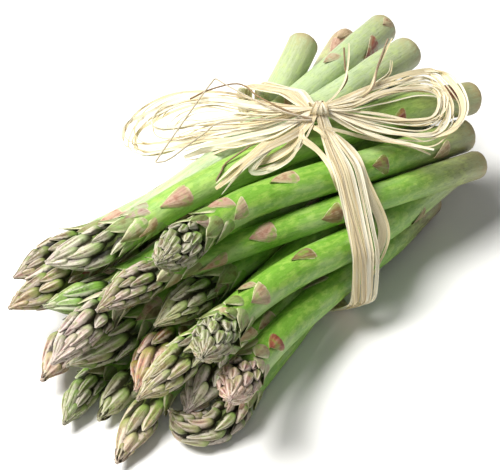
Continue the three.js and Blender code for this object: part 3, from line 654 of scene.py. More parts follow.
def add_stem(build, spear, look, rng):
    """Closed skin from the cut end to the tip, with the head's core under its scales."""
    last = spear.length - STEM_END
    body = np.arange(BUTT_BEVEL, last - 0.1, STEM_STEP)
    distance = np.concatenate([np.array(BEVEL_RINGS) * BUTT_BEVEL, body, [last]])
    angle = np.linspace(0, 2 * math.pi, STEM_SIDES, endpoint=False)
    s, a = np.meshgrid(distance, angle, indexing="ij")
    centre, _, across, side, radius = spear.at(s)
    phase = rng.uniform(0, 2 * math.pi, 4)
    ribs = RIB_DEPTH * np.cos(RIB_COUNT * a + 0.01 * s + phase[0])
    sway = SWAY_DEPTH * np.cos(2 * a + 0.05 * s + phase[1]) * np.cos(0.07 * s + phase[2])
    radius = radius + ribs + sway - CORE_DEPTH * ease(s, spear.neck - 3, spear.neck + 6)
    radius = np.maximum(radius, CORE_RADIUS)
    rounding = BUTT_BEVEL * (1 - np.sqrt(1 - (1 - np.clip(distance / BUTT_BEVEL, 0, 1)) ** 2))
    radius -= rounding[:, None] * (1 + 0.25 * np.cos(3 * a + phase[3]))
    outward = np.cos(a)[..., None] * across + np.sin(a)[..., None] * side
    points = over_floor(centre + outward * radius[..., None])
    skin = np.stack([np.cos(a) * radius, np.sin(a) * radius, s], -1)
    tint = stem_tint(spear, look, s)
    rows = len(distance)
    build.add(points, tube_faces(rows, STEM_SIDES), STEM, tint=tint, skin=skin)
    rim = build.count - rows * STEM_SIDES + np.arange(STEM_SIDES)
    build.add(spear.at(spear.length)[0], [], STEM, tint=tint[-1, 0], skin=(0, 0, spear.length))
    build.add_faces(fan(rim + (rows - 1) * STEM_SIDES, build.count - 1), STEM)
    add_cut_face(build, spear, look, rim, points[0])


def stem_tint(spear, look, s):
    """Paler and duller at the cut end, fresh green above it and slightly grey at the neck, with painted shade
    on the head's core: near-black green in the gaps between its scales.
    """
    neck = ease(s, spear.neck - 30, spear.neck + 5)
    core = ease(s, spear.neck - 1, spear.neck + 4)
    tint = look.skin
    layers = (
        (look.butt, (1 - ease(s, *BUTT_FADE)) * 0.9),
        (DRY_EDGE, (1 - ease(s, *DRY_FADE)) * 0.6),
        (SCALE_GREEN, neck * 0.35),
        # painted shade over the head's core, under its scales
        (CORE_SHADE_GREEN, core),
    )
    for other, share in layers:
        tint = blend(tint, other, share[..., None])
    return tint


def add_cut_face(build, spear, look, rim, rim_points):
    """The cut end: slightly hollow rings from the rim to the middle."""
    centre, along, _, _, _ = spear.at(0)
    ring = rim
    for share in CUT_RINGS:
        points = centre + (rim_points - centre) * share + along * CUT_HOLLOW * (1 - share)
        build.add(points, [], CUT_FACE, tint=look.butt)
        outer, ring = ring, build.count - STEM_SIDES + np.arange(STEM_SIDES)
        build.add_faces(np.stack([outer, ring, np.roll(ring, -1), np.roll(outer, -1)], -1), CUT_FACE)
    build.add(centre + along * CUT_HOLLOW * 0.8, [], CUT_FACE, tint=look.butt)
    build.add_faces([(there, here, apex) for here, there, apex in fan(ring, build.count - 1)], CUT_FACE)


def vary(tint, rng, amount=0.12):
    return np.clip(tint * (1 + rng.uniform(-amount, amount)), 0, 1)


def head_tint(look, progress, rng):
    """Colour of a scale, greener towards the neck, each a little different."""
    green = look.green * (1.3 - 1.0 * progress) * rng.uniform(0.4, 1.5)
    tint = blend(look.tint, SCALE_GREEN, np.clip(green, 0, 1))
    other = (MAUVE, CREAM, PINK, BROWN)[rng.integers(4)]
    return vary(blend(tint, other, rng.uniform(0, 0.5)), rng, 0.22)


def add_neck(build, spear, look, rng):
    """Loose triangular leaves before the head, green at the foot and with a pale edge."""
    angle = rng.uniform(0, 2 * math.pi)
    for place in np.linspace(0, 1, NECK_LEAVES) ** 0.8:
        distance = spear.neck - NECK_LENGTH * (1 - place)
        radius = float(spear.at(distance)[4])
        width = radius * (1.9 - 0.5 * place) * rng.uniform(0.8, 1.15)
        length = width * rng.uniform(0.9, 1.2)
        leaf = Leaf(length, width, point=1.0, foot=0.95, sink=0.25, rise=1.0, bulge=rng.uniform(0.5, 1.0),
                    tuck=0.1, arc=2.0, curl=0.3 + 1.9 * rng.uniform(0, 1) ** 2, tilt=rng.uniform(-0.5, 0.5),
                    twist=rng.uniform(-0.12, 0.12))
        tint = head_tint(look, 0, rng)
        foot = vary(SCALE_GREEN, rng)
        add_leaf(build, spear, distance, angle, leaf, tint, foot, LEAFY_MARK + rng.uniform(0, 1), (11, 11))
        angle += GOLDEN_TURN


def add_head(build, spear, look, rng):
    """Tight scales in a spiral from the neck up to the tip."""
    distance = spear.neck - 1
    angle = rng.uniform(0, 2 * math.pi)
    swirl = rng.choice([-1, 1]) * rng.uniform(0.1, 0.3)
    while distance < spear.length - HEAD_END:
        radius = float(spear.at(distance)[4])
        progress = float(np.clip((distance - spear.neck) / spear.head, 0, 1))
        width = look.size * np.clip(0.68 * radius + 0.6, *SCALE_WIDTHS) * rng.uniform(0.8, 1.2)
        width = min(width, 1.9 * radius + 1.2)
        length = min(width * look.slender * rng.uniform(0.85, 1.2), spear.length - distance + SCALE_OVERHANG)
        tint = head_tint(look, progress, rng)
        foot = blend(tint, SCALE_GREEN, 0.3 + 0.5 * (1 - progress) ** 2)
        crest, tip = rng.uniform(0.8, 1.5) * look.full, rng.uniform(0.3, 1.0) * look.full
        bud = Bud(length, width, crest, tip, twist=swirl * rng.uniform(0.6, 1.4),
                  point=rng.uniform(1.6, 2.5), tilt=rng.uniform(-0.4, 0.4),
                  flare=rng.uniform(0, 1) ** 3 * (1 - progress) * min(1, look.slender - 1.3))
        add_bud(build, spear, distance, angle + rng.uniform(-0.12, 0.12), bud, tint, foot, rng.uniform(0, 1))
        shown = SCALE_SHARE * (1 - 0.45 * progress ** 3) * width * length
        distance += shown / (2 * math.pi * max(radius, 1.6))
        angle += GOLDEN_TURN


def add_bract(build, spear, look, row, rng):
    start, angle, length, width, tint, curl = row
    leaf = Leaf(length * 1.15, width * rng.uniform(1.3, 1.6), point=1.1, foot=1.0, sink=0.0, rise=0.35,
                bulge=0.5, tuck=0.15, arc=rng.uniform(-0.6, 0.8), curl=curl * 1.5,
                tilt=rng.uniform(-0.4, 0.4), twist=rng.uniform(-0.25, 0.25))
    foot = stem_tint(spear, look, np.array([start]))[0]
    tint = vary(tint, rng, 0.08)
    add_leaf(build, spear, start, angle, leaf, tint, foot, BRACT_MARK + rng.uniform(0, 1), (13, 15))


def make_spear(spear, number, look, bracts, materials):
    rng = np.random.default_rng(HEAD_SEED + number)
    build = Build()
    add_stem(build, spear, look, rng)
    for row in bracts:
        add_bract(build, spear, look, row, rng)
    add_neck(build, spear, look, rng)
    add_head(build, spear, look, rng)
    piece = build.finish(f"fine_{spear.node}", materials, SHARP_ANGLE)
    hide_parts(spear.node)


# ---------------------------------------------------------------- raffia

BAND_SLANT = (0.3, 0.1)                      # its plane is x = 0.3 y + 0.1 z
BAND_ACROSS = unit(np.array([1, -BAND_SLANT[0], -BAND_SLANT[1]]))
BAND_WIDTH = 11
KNOT_RADIUS = 4.2
KNOT_RISE = 5.9                              # of its middle over the stems' side of the band
BOW_AXIS = unit(np.array([0.78, -0.62, 0]))
BOW_FACING = unit(np.array([-0.25, -0.3, 0.92]))
STRIP_THICKNESS = 0.26
STRIP_COLUMNS = 7                            # points across a strip
RAFFIA_TINTS = [
    colour(228, 212, 176), colour(220, 202, 160), colour(234, 224, 194), colour(208, 188, 148),
]
FIBRE_TINT = colour(122, 100, 74)

# The bow's strips, each from the knot out through these places, as in the solid.
BOW_LOOPS = [
    (5.5, [[-4, 18, 73], [-11, 34, 71], [-16, 49, 67], [-24, 60, 62], [-34, 65, 58], [-44, 64, 56],
           [-51, 58, 55], [-50, 50, 55], [-43, 43, 57], [-33, 35, 61], [-22, 24, 66], [-10, 14, 70]]),
    (5, [[-11, 17, 75], [-18, 31, 73], [-25, 46, 69], [-34, 53, 65], [-41, 53, 62], [-42, 48, 61],
         [-36, 42, 63], [-27, 32, 67], [-13, 17, 72]]),
    (5.5, [[20, 0, 73], [38, 1, 71], [60, 2, 67], [74, -2, 64], [74, -13, 63], [67, -25, 62],
           [58, -31, 61], [47, -33, 61], [35, -27, 63], [22, -16, 67]]),
    (5, [[20, -4, 75], [40, -3, 70], [59, -6, 67], [66, -13, 65], [61, -21, 64], [52, -26, 64],
         [42, -23, 65], [28, -13, 69]]),
]
BOW_TAILS = [
    (5, [[-13, 8, 70], [-28, 17, 67], [-35, 22, 65], [-42, 29, 62]]),
    (6, [[-8, -2, 68], [-17, -2, 65], [-26, 2, 62]]),
    (4.5, [[-10, 6, 69], [-24, 6, 66], [-35, 5, 64], [-43, 5, 61]]),
    (4, [[22, 2, 74], [34, 3, 73], [44, 8, 75], [64, 20, 77]]),
    (3, [[21, 7, 74], [31, 13, 75], [39, 20, 76], [46, 27, 78]]),
    (4.5, [[15, -6, 70], [23, -17, 67], [31, -26, 65], [38, -35, 63]]),
]


def spline(places, spacing=1.2):
    """Smooth open curve through places, as points about spacing apart."""
    places = np.asarray(places, float)
    padded = np.concatenate([[2 * places[0] - places[1]], places, [2 * places[-1] - places[-2]]])
    pieces = []
    for before, start, end, after in zip(padded, padded[1:], padded[2:], padded[3:]):
        count = max(2, int(np.linalg.norm(end - start) / spacing))
        t = np.linspace(0, 1, count, endpoint=False)[:, None]
        pieces.append(0.5 * (2 * start + (end - before) * t
                             + (2 * before - 5 * start + 4 * end - after) * t ** 2
                             + (3 * start - before - 3 * end + after) * t ** 3))
    return np.concatenate(pieces + [places[-1:]])


def drift(rng, count, amount, bumps=3):
    """Smooth random wander along a strip."""
    knots = rng.uniform(-amount, amount, bumps + 3)
    place = np.linspace(0, bumps + 2, count)
    return smooth(np.interp(place, np.arange(bumps + 3), knots), max(2, count // 8))


def add_ribbon(build, places, facing, width, rng, cup=0.12, taper=(1, 1)):
    """Thin closed strip with lengthwise creases. facing is where its flat side looks."""
    count = len(places)
    along = unit(np.gradient(places, axis=0))
    across = unit(np.cross(along, np.broadcast_to(facing, places.shape)))
    up = np.cross(across, along)
    u = np.linspace(-1, 1, STRIP_COLUMNS)
    crease = rng.uniform(-1, 1, STRIP_COLUMNS)
    crease[[0, -1]] *= 0.3
    profile = cup * (crease + u * u * rng.uniform(0.5, 2.5))
    half = width / 2 * (1 + drift(rng, count, 0.16, 5))
    half = half * np.interp(np.linspace(0, 1, count), [0, 0.12, 0.8, 1], [taper[0], 1, 1, taper[1]])
    rise = profile[None, :] * np.minimum(1, half)[:, None]
    lateral = half[:, None] * u
    front = places[:, None] + across[:, None] * lateral[..., None] + up[:, None] * rise[..., None]
    points = over_floor(np.array([front, front - up[:, None] * STRIP_THICKNESS]))
    distance = np.concatenate([[0], np.cumsum(np.linalg.norm(np.diff(places, axis=0), axis=1))])
    marks = np.stack(np.broadcast_arrays(lateral, distance[:, None], rng.uniform(0, 1)), -1)
    tint = vary(RAFFIA_TINTS[rng.integers(len(RAFFIA_TINTS))], rng, 0.06)
    build.add(points, shell_faces(count, STRIP_COLUMNS), tint=tint, leaf=np.array([marks, marks]))


def turned(facing, places, twist):
    """facing turned round the strip's own line by an angle at each place."""
    along = unit(np.gradient(places, axis=0))
    side = np.cross(along, facing)
    return np.cos(twist)[:, None] * facing + np.sin(twist)[:, None] * side


def outer_hull(points):
    """Corners of the smallest outward-curved outline round points in a plane."""
    ordered = sorted(map(tuple, points))

    def half(sequence):
        kept = []
        for point in sequence:
            while len(kept) > 1:
                (ax, ay), (bx, by) = kept[-2], kept[-1]
                if (bx - ax) * (point[1] - ay) - (by - ay) * (point[0] - ax) > 0:
                    break
                kept.pop()
            kept.append(point)
        return kept[:-1]

    return np.array(half(ordered) + half(ordered[::-1]))


class BandLoop:
    """The outside of the band, measured on its solid, from the knot down the -Y side and back."""

    def __init__(self):
        corners = triangles_of("raffia_band").reshape(-1, 3)
        off = (corners[:, 0] - corners[:, 1:] @ np.array(BAND_SLANT)) * BAND_ACROSS[0]
        hull = outer_hull(corners[np.abs(off) < BAND_WIDTH / 2 + 0.2][:, 1:])
        top = hull[:, 1].argmax()
        hull = np.roll(hull, -top, axis=0)[::-1]
        hull = np.concatenate([hull[-1:], hull])
        steps = np.linalg.norm(np.diff(hull, axis=0), axis=1)
        ends = np.concatenate([[0], np.cumsum(steps)])
        self.length = ends[-1]
        self.distance = np.arange(0, self.length, 1.5)
        flat = np.stack([np.interp(self.distance, ends, hull[:, i]) for i in (0, 1)], -1)
        for _ in range(2):
            flat = (np.roll(flat, 1, 0) + 2 * flat + np.roll(flat, -1, 0)) / 4
        self.places = np.column_stack([flat @ np.array(BAND_SLANT), flat])
        along = np.roll(self.places, -1, 0) - np.roll(self.places, 1, 0)
        self.outward = unit(np.cross(BAND_ACROSS, along))
        middle = self.places.mean(0)
        if ((self.places - middle) * self.outward).sum() < 0:
            self.outward = -self.outward
        self.knot = self.places[0] + np.array([0, 0, KNOT_RISE - 1.3])


BOW_SIDE = unit(np.cross(BOW_FACING, BOW_AXIS))
LOOP_STRIPS = 8
LOOP_SPREAD = 1.2
LOOP_WANDER = np.array([1.3, 1.3, 0.9])
LOOP_RETURN = 0.8                            # a loop comes back to the knot this far beside its middle
BAND_STRIPS = 12
GATHER_LENGTH = 26                           # over which the band narrows to the knot
GATHERED = 0.32
KNOT_TURNS = 5
KNOT_SPREAD = 3.6
FIBRE_SIDES = 6

def add_band(build, loop, rng):
    from_knot = np.minimum(loop.distance, loop.length - loop.distance)
    gather = GATHERED + (1 - GATHERED) * ease(from_knot, 2, GATHER_LENGTH)
    to_knot = 1 - ease(from_knot, 0, 9)
    for strip in range(BAND_STRIPS):
        place = strip / (BAND_STRIPS - 1) - 0.5
        count = len(loop.distance)
        lateral = place * (BAND_WIDTH - 0.8) * gather + drift(rng, count, 1.7, 7) * gather
        layer = -0.8 + 0.35 * (strip % 3) + drift(rng, count, 0.2, 8)
        places = loop.places + BAND_ACROSS * lateral[:, None]
        places = places + loop.outward * layer[:, None]
        places = places + (loop.knot - loop.places[0]) * to_knot[:, None] * 0.75
        facing = turned(loop.outward, places, drift(rng, count, 0.5, 9))
        add_ribbon(build, places, facing, rng.uniform(0.7, 2.5), rng, taper=(0.7, 0.7))


def add_bow(build, knot, rng):
    for width, path in BOW_LOOPS:
        offsets = np.array(path) - knot
        sign = np.sign(path[0][0])
        for _ in range(LOOP_STRIPS):
            reach = 1 - 0.16 * rng.uniform(0, 1) ** 2
            swing = rng.uniform(-0.5, 0.5) * width * LOOP_SPREAD
            wander = rng.uniform(-1, 1, offsets.shape) * LOOP_WANDER
            strand = knot + offsets * reach + BOW_SIDE * swing + wander
            line = spline([knot, *strand, knot + BOW_AXIS * sign * LOOP_RETURN])
            strip_width = 0.5 + 1.9 * rng.uniform(0, 1) ** 2.5
            lay_bow_strip(build, line, 0, strip_width, rng, closed=True)
    for width, path in BOW_TAILS:
        line = spline([knot, *path])
        widths = (max(0.8, (width - 3) * 1.1), 0.8)
        for strip in range(2 if width > 4 else 1):
            shift = (strip - 0.5) * (width - 2)
            cut = len(line) - int(rng.uniform(0, 0.3) * len(line)) * strip
            lay_bow_strip(build, line[:cut], shift, widths[strip], rng, closed=False)


def lay_bow_strip(build, line, shift, width, rng, closed, facing=BOW_FACING):
    """A strip along a line, flat on its straight runs and on edge where a loop turns."""
    count = len(line)
    t = np.linspace(0, 1, count)
    spread = np.sin(math.pi * t) ** 0.5 if closed else ease(t, 0, 0.6)
    along = unit(np.gradient(line, axis=0))
    across = unit(np.cross(facing, along))
    lateral = (shift + drift(rng, count, 0.7, 4)) * (0.25 + 0.75 * spread)
    lift = drift(rng, count, 0.9, 4) * spread
    places = smooth(line + across * lateral[:, None] + facing * lift[:, None], 3)
    bend = smooth(np.gradient(unit(np.gradient(places, axis=0)), axis=0), 4)
    on_edge = ease(np.linalg.norm(bend, axis=1), 0.06, 0.2) * (0.85 if closed else 0.0)
    outward = across * np.sign((bend * across).sum(1, keepdims=True) + 1e-9)
    facing = unit(facing * (1 - on_edge)[:, None] + outward * on_edge[:, None])
    facing = turned(facing, places, drift(rng, count, 0.5, 3) * spread)
    add_ribbon(build, places, facing, width, rng, taper=(0.55, 0.55 if closed else rng.uniform(0.1, 0.8)))


def add_knot(build, knot, rng):
    """Strips wound round the neck of the bow, across the line between its loops."""
    first = unit(np.cross(BOW_AXIS, BOW_FACING))
    second = np.cross(BOW_AXIS, first)
    for turn in range(KNOT_TURNS):
        place = turn / (KNOT_TURNS - 1) - 0.5
        shift = place * KNOT_SPREAD
        angle = np.linspace(0, 2 * math.pi * 1.04, 44) + rng.uniform(0, 6)
        tilt = rng.uniform(-0.5, 0.5)
        radius = KNOT_RADIUS * (0.68 - 0.1 * abs(place * 2)) + rng.uniform(-0.1, 0.15)
        outward = np.cos(angle)[:, None] * first + np.sin(angle)[:, None] * second
        sway = (shift + tilt * KNOT_RADIUS * np.cos(angle))[:, None]
        places = knot + outward * radius + BOW_AXIS * sway
        add_ribbon(build, places, outward, rng.uniform(1.8, 2.8), rng, cup=0.18)


# Thin wiry fibres as pixels of the photograph, each with its height over the surface in mm.
FIBRE_RADIUS = 0.4
FIBRES = [
    [(311, 118, 74), (285, 112, 77), (255, 100, 77), (228, 86, 76), (218, 80, 76), (215, 79, 76),
     (212, 82, 76), (200, 98, 75), (174, 135, 72), (158, 158, 70), (156, 162, 70), (160, 162, 70),
     (171, 158, 71), (202, 135, 73), (228, 121, 75), (311, 120, 74)],
    [(190, 99, 74), (209, 90, 75), (232, 84, 76), (245, 86, 76), (259, 97, 77), (290, 112, 76),
     (311, 120, 74)],
    [(385, 235, 21), (410, 222, 21), (428, 206, 22), (440, 190, 24)],
    [(216, 181, 60), (222, 170, 63), (226, 163, 64), (250, 146, 68)],
    [(311, 121, 73), (345, 84, 73), (345, 67, 73), (344, 48, 74)],
    [(311, 121, 73), (367, 94, 74), (378, 65, 76), (388, 39, 77)],
]


# Strips that lie over the stems: pixels along them, width, heights over the stems, and how many
# strips lie together.
DRAPED_STRIPS = [
    ([(318, 128), (334, 137), (355, 157), (365, 183), (379, 216), (383, 234), (378, 252), (366, 276)],
     4.0, (5, 3, 2.5, 2.5, 2), 2),
    ([(306, 128), (300, 137), (316, 150), (332, 172), (338, 190)], 2.6, (5, 4, 3, 2), 1),
    ([(306, 126), (288, 138), (267, 147), (240, 166), (217, 190)], 3.4, (5, 5, 3.5, 2.5), 2),
    ([(306, 124), (290, 136), (272, 146), (258, 160), (250, 171), (262, 173), (280, 166), (294, 156),
      (303, 139)],
     3.0, (5, 5, 4, 3, 3, 3, 5), 2),
    ([(305, 122), (267, 136), (232, 143), (205, 151), (184, 156)], 3.2, (5, 6, 7, 7), 2),
    ([(316, 126), (345, 132), (375, 140), (407, 145), (431, 153)], 1.6, (5, 5, 4, 3), 1),
    ([(316, 118), (340, 108), (356, 98), (375, 84), (390, 73), (392, 60)], 1.2, (5, 5, 4, 3), 2),
    ([(312, 126), (322, 134), (329, 147)], 2.0, (6, 6, 6), 1),
]


def at_height(pixel, height):
    """The place at a height over the surface that a pixel shows."""
    ray = ray_through(pixel)
    return CAMERA_PLACE + ray * (height - CAMERA_PLACE[2]) / ray[2]


def draped(spears, row, lift):
    """Places that lie over the stems along a row of pixels, held off them by lift."""
    pixels = spline([(x, y, 0) for x, y in row], 3.0)
    rays = np.array([ray_through(pixel) for pixel in pixels])
    depths = []
    for ray in rays:
        hits = [hit[0] for hit in (spear.hit(ray) for spear in spears) if hit]
        depths.append(min(hits, default=math.nan))
    depths = np.array(depths)
    known = ~np.isnan(depths)
    depths = np.interp(np.arange(len(depths)), np.where(known)[0], depths[known])
    for _ in range(40):
        depths[1:-1] = np.minimum(depths[1:-1], (depths[:-2] + depths[2:]) / 2)
    lifts = np.interp(np.linspace(0, 1, len(depths)), np.linspace(0, 1, len(lift)), lift)
    return CAMERA_PLACE + rays * (depths - lifts)[:, None]


def add_draped(build, spears, rng):
    for row, width, lift, strips in DRAPED_STRIPS:
        line = draped(spears, row, lift)
        for strip in range(strips):
            shift = (0, width * 0.6)[strip]
            lay_bow_strip(build, line, shift, width * (0.9, 0.3)[strip], rng, closed=False, facing=BACK)


def add_fibre(build, row, rng):
    line = spline([at_height((x, y), z) for x, y, z in row], 1.5)
    angle = np.linspace(0, 2 * math.pi, FIBRE_SIDES, endpoint=False)
    along = unit(np.gradient(line, axis=0))
    first = unit(np.cross(along, BOW_FACING))
    second = np.cross(along, first)
    radius = FIBRE_RADIUS * (1 + drift(rng, len(line), 0.2, 6))
    out = np.cos(angle)[None, :, None] * first[:, None] + np.sin(angle)[None, :, None] * second[:, None]
    points = line[:, None] + out * radius[:, None, None]
    build.add(points, tube_faces(len(line), FIBRE_SIDES), tint=FIBRE_TINT, leaf=(0, 0, rng.uniform(0, 1)))
    last = range(build.count - FIBRE_SIDES, build.count)
    first_ring = range(build.count - len(line) * FIBRE_SIDES, build.count - (len(line) - 1) * FIBRE_SIDES)
    build.add_faces([first_ring[::-1], last])


def finish_raffia(build, name, materials, node=None):
    piece = build.finish(name, materials, math.radians(40))
    if node:
        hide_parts(node)


def make_raffia(spears, materials):
    rng = np.random.default_rng(7)
    loop = BandLoop()
    band, bow, knot = Build(), Build(), Build()
    add_band(band, loop, rng)
    add_bow(bow, loop.knot, rng)
    add_draped(bow, spears, rng)
    for row in FIBRES:
        add_fibre(bow, row, rng)
    add_knot(knot, loop.knot, rng)
    finish_raffia(band, "raffia_band_strips", materials, "raffia_band")
    finish_raffia(bow, "raffia_bow_strips", materials, "raffia_bow")
    finish_raffia(knot, "raffia_knot_strips", materials)


# ---------------------------------------------------------------- materials

NOISE_ROUGHNESS = 0.55


class Shader:
    """Shorthand for building one material's nodes."""

    def __init__(self, name):
        self.material = bpy.data.materials.new(name)
        self.material.use_nodes = True
        self.nodes = self.material.node_tree.nodes
        self.links = self.material.node_tree.links
        self.surface = self.nodes["Principled BSDF"]

    def feed(self, socket, value):
        if isinstance(value, bpy.types.NodeSocket):
            self.links.new(value, socket)
        elif isinstance(value, np.ndarray):
            socket.default_value = (*value.tolist(), 1)
        else:
            socket.default_value = value

    def node(self, kind, inputs=None, **settings):
        """A new node, its settings made and its inputs fed by their names or numbers."""
        node = self.nodes.new("ShaderNode" + kind)
        for name, value in settings.items():
            setattr(node, name, value)
        for socket, value in (inputs or {}).items():
            self.feed(node.inputs[socket], value)
        return node

    def attribute(self, name):
        return self.node("Attribute", attribute_name=name).outputs["Vector"]

    def split(self, vector):
        return tuple(self.node("SeparateXYZ", {0: vector}).outputs)

    def join(self, *values):
        return self.node("CombineXYZ", dict(enumerate(values))).outputs[0]

    def math(self, operation, *values):
        return self.node("Math", dict(enumerate(values)), operation=operation).outputs[0]

    def times(self, *values):
        product = values[0]
        for value in values[1:]:
            product = self.math("MULTIPLY", product, value)
        return product

    def line(self, value, slope, start):
        """value * slope + start."""
        return self.math("MULTIPLY_ADD", value, slope, start)

    def scaled(self, vector, factors):
        return self.node("VectorMath", {0: vector, 1: factors}, operation="MULTIPLY").outputs[0]

    def position(self):
        """Place on the object in mm."""
        return self.scaled(self.node("TexCoord").outputs["Object"], (1 / MM,) * 3)

    def noise(self, vector, scale, detail):
        inputs = {"Vector": vector, "Scale": scale, "Detail": detail, "Roughness": NOISE_ROUGHNESS}
        return self.node("TexNoise", inputs).outputs["Fac"]

    def step(self, value, low, high, result_low=0.0, result_high=1.0):
        """Smooth change of the result while the value goes from low to high."""
        inputs = {
            "Value": value, "From Min": low, "From Max": high, "To Min": result_low, "To Max": result_high,
        }
        return self.node("MapRange", inputs, interpolation_type="SMOOTHSTEP").outputs["Result"]

    def mix_value(self, factor, first, second):
        return self.node("Mix", {0: factor, 2: first, 3: second}).outputs[0]

    def mix(self, factor, first, second, blending="MIX"):
        inputs = {0: factor, 6: first, 7: second}
        return self.node("Mix", inputs, data_type="RGBA", blend_type=blending).outputs[2]

    def tinted(self, base, tint):
        return self.mix(1.0, base, tint, "MULTIPLY")

    def bump(self, height, distance):
        node = self.node("Bump", {"Height": height, "Distance": distance})
        self.links.new(node.outputs["Normal"], self.surface.inputs["Normal"])

    def finish(self, base, roughness, **sockets):
        self.feed(self.surface.inputs["Base Color"], base)
        self.feed(self.surface.inputs["Roughness"], roughness)
        for name, value in sockets.items():
            self.surface.inputs[name.replace("_", " ")].default_value = value
        return self.material


def skin_material():
    """Waxy green stem: soft blotches, faint lengthwise lines, pale bloom and small light specks."""
    shader = Shader("asparagus_skin")
    step, mix = shader.step, shader.mix
    skin, tint = shader.attribute("skin"), shader.attribute("tint")

    def grain(stretch, scale, detail):
        return shader.noise(shader.scaled(skin, (1, 1, stretch)), scale, detail)

    streak, blotch, patch = grain(0.07, 1.2, 3), grain(0.5, 0.45, 5), grain(0.4, 0.09, 3)
    speck, pit, scar = grain(0.6, 2.0, 3), grain(0.35, 1.5, 4), grain(0.6, 0.8, 3)
    base = mix(step(streak, 0.35, 0.65), shader.tinted(tint, colour(232, 238, 222)), tint)
    base = mix(step(blotch, 0.45, 0.62, 0, 0.5), base, mix(0.5, tint, colour(196, 222, 110)))
    base = mix(step(patch, 0.46, 0.66, 0, 0.4), base, colour(188, 202, 154))
    base = mix(step(speck, 0.6, 0.72, 0, 0.2), base, colour(212, 222, 162))
    base = mix(step(pit, 0.44, 0.32, 0, 0.35), base, shader.tinted(base, colour(150, 170, 110)))
    base = mix(step(scar, 0.7, 0.78, 0, 0.4), base, colour(126, 124, 74))
    from_cut = shader.split(skin)[2]
    scuff = shader.times(step(from_cut, 16.0, 1.0), step(blotch, 0.42, 0.6, 0.1, 0.75))
    base = mix(scuff, base, mix(0.5, tint, colour(160, 122, 92)))
    shader.bump(shader.math("ADD", blotch, shader.line(pit, 0.8, streak)), 0.16 * MM)
    return shader.finish(base, step(patch, 0.3, 0.7, 0.38, 0.5), Specular_IOR_Level=0.5)


def scale_material():
    """Scales and bracts: green foot, coloured middle with fine veins, a pale edge and dark creases. A pale
    lit copy and a dark shaded copy of the colour paint highlight and shade along the veins and ridges,
    painted highlight partly makes the pale edges and tips of the head's scales, and the creases at their
    sides and foot are painted shade.
    """
    shader = Shader("asparagus_scale")
    step, times, mix = shader.step, shader.times, shader.mix
    tint, foot = shader.attribute("tint"), shader.attribute("foot")
    u, v, seed = shader.split(shader.attribute("leaf"))
    place = shader.position()
    mottle, patchy = shader.noise(place, 0.7, 4), shader.noise(place, 0.3, 3)
    bract = step(seed, BRACT_MARK - 0.6, BRACT_MARK - 0.5)
    leafy = step(seed, LEAFY_MARK - 0.6, LEAFY_MARK - 0.5)
    in_head = shader.math("SUBTRACT", 1.0, bract)

    reached = shader.line(mottle, 0.3, v)
    edge = shader.math("ABSOLUTE", shader.math("ADD", u, shader.line(mottle, 0.36, -0.18)))
    soft = times(step(patchy, 0.3, 0.52, 0.3, 1.0), step(edge, 1.1, 0.6, 0.5, 1.0))
    soft = times(soft, shader.line(leafy, -0.3, 1.0))
    body = shader.mix_value(bract, step(reached, 0.3, 0.75), soft)
    base = mix(body, foot, tint)
    # shaded and lit: darker and paler copies of the colour, used below for painted shade and painted
    # highlight
    shaded = shader.tinted(base, colour(128, 104, 92))
    lit = mix(0.5, tint, colour(244, 236, 222))
    base = mix(times(step(patchy, 0.54, 0.42, 0, 0.7), in_head), base, foot)

    # veins: the scale's own fine streaks, partly painted shade and painted highlight along the vein wrinkles
    # that the bump raises
    veins = shader.noise(shader.join(times(u, 4.5), times(v, 1.2), times(seed, 50.0)), 1.0, 3)
    veined = times(body, shader.line(bract, -0.6, 1.0))
    base = mix(times(step(veins, 0.5, 0.34, 0, 0.65), veined), base, shaded)
    base = mix(times(step(veins, 0.52, 0.68, 0, 0.6), veined), base, lit)

    # painted highlight on the crests of each scale's ridges and painted shade in the valleys between them, in
    # step with the ridges of its shape
    phase = shader.line(u, RIDGE_ACROSS, shader.line(seed, RIDGE_SHIFT, times(v, RIDGE_ALONG)))
    ridge = shader.math("COSINE", phase)
    ridged = times(body, in_head, step(mottle, 0.3, 0.55))
    base = mix(times(step(ridge, 0.2, 0.95, 0, 0.7), ridged), base, lit)
    base = mix(times(step(ridge, -0.2, -0.95, 0, 0.65), ridged), base, shaded)

    border = times(step(edge, 0.9, 1.02), step(patchy, 0.35, 0.6, 0.2, 0.6), bract)
    border = shader.math("MAXIMUM", border, times(step(v, 0.08, 0.02, 0, 0.35), bract))
    fringe = times(step(edge, 0.7, 0.95), step(v, 0.1, 0.4, 0, 0.7), leafy)
    base = mix(shader.math("MAXIMUM", border, fringe), base, colour(232, 222, 190))

    # rim: pale edges and tip of each head scale in the lit copy, partly their own pale margin and partly
    # painted highlight
    rim = times(step(edge, 0.5, 0.62), step(edge, 0.84, 0.72), step(v, 0.3, 0.6))
    rim = times(shader.math("MAXIMUM", rim, step(v, 0.86, 1.0)), in_head)
    base = mix(times(rim, 0.8), base, lit)
    # painted shade: darker at the sides and foot of each head scale, where its neighbours overlap and shade
    # it
    side = times(step(edge, 0.5, 0.88), step(v, 1.0, 0.6, 0.1, 1.0))
    crease = times(shader.math("MAXIMUM", side, step(v, 0.26, 0.04)), in_head, shader.line(rim, -0.5, 1.0))
    base = mix(times(crease, 0.97), base, shader.tinted(base, colour(64, 56, 36)))

    dry = shader.math("MAXIMUM", step(v, 0.55, 1.0, 0, 0.45), step(patchy, 0.5, 0.68, 0, 0.6))
    dry = times(dry, bract, step(edge, 0.8, 0.5))
    base = mix(dry, base, shader.tinted(base, colour(196, 148, 128)))
    shader.bump(shader.line(mottle, 0.4, veins), 0.4 * MM)
    return shader.finish(base, 0.5, Specular_IOR_Level=0.3)


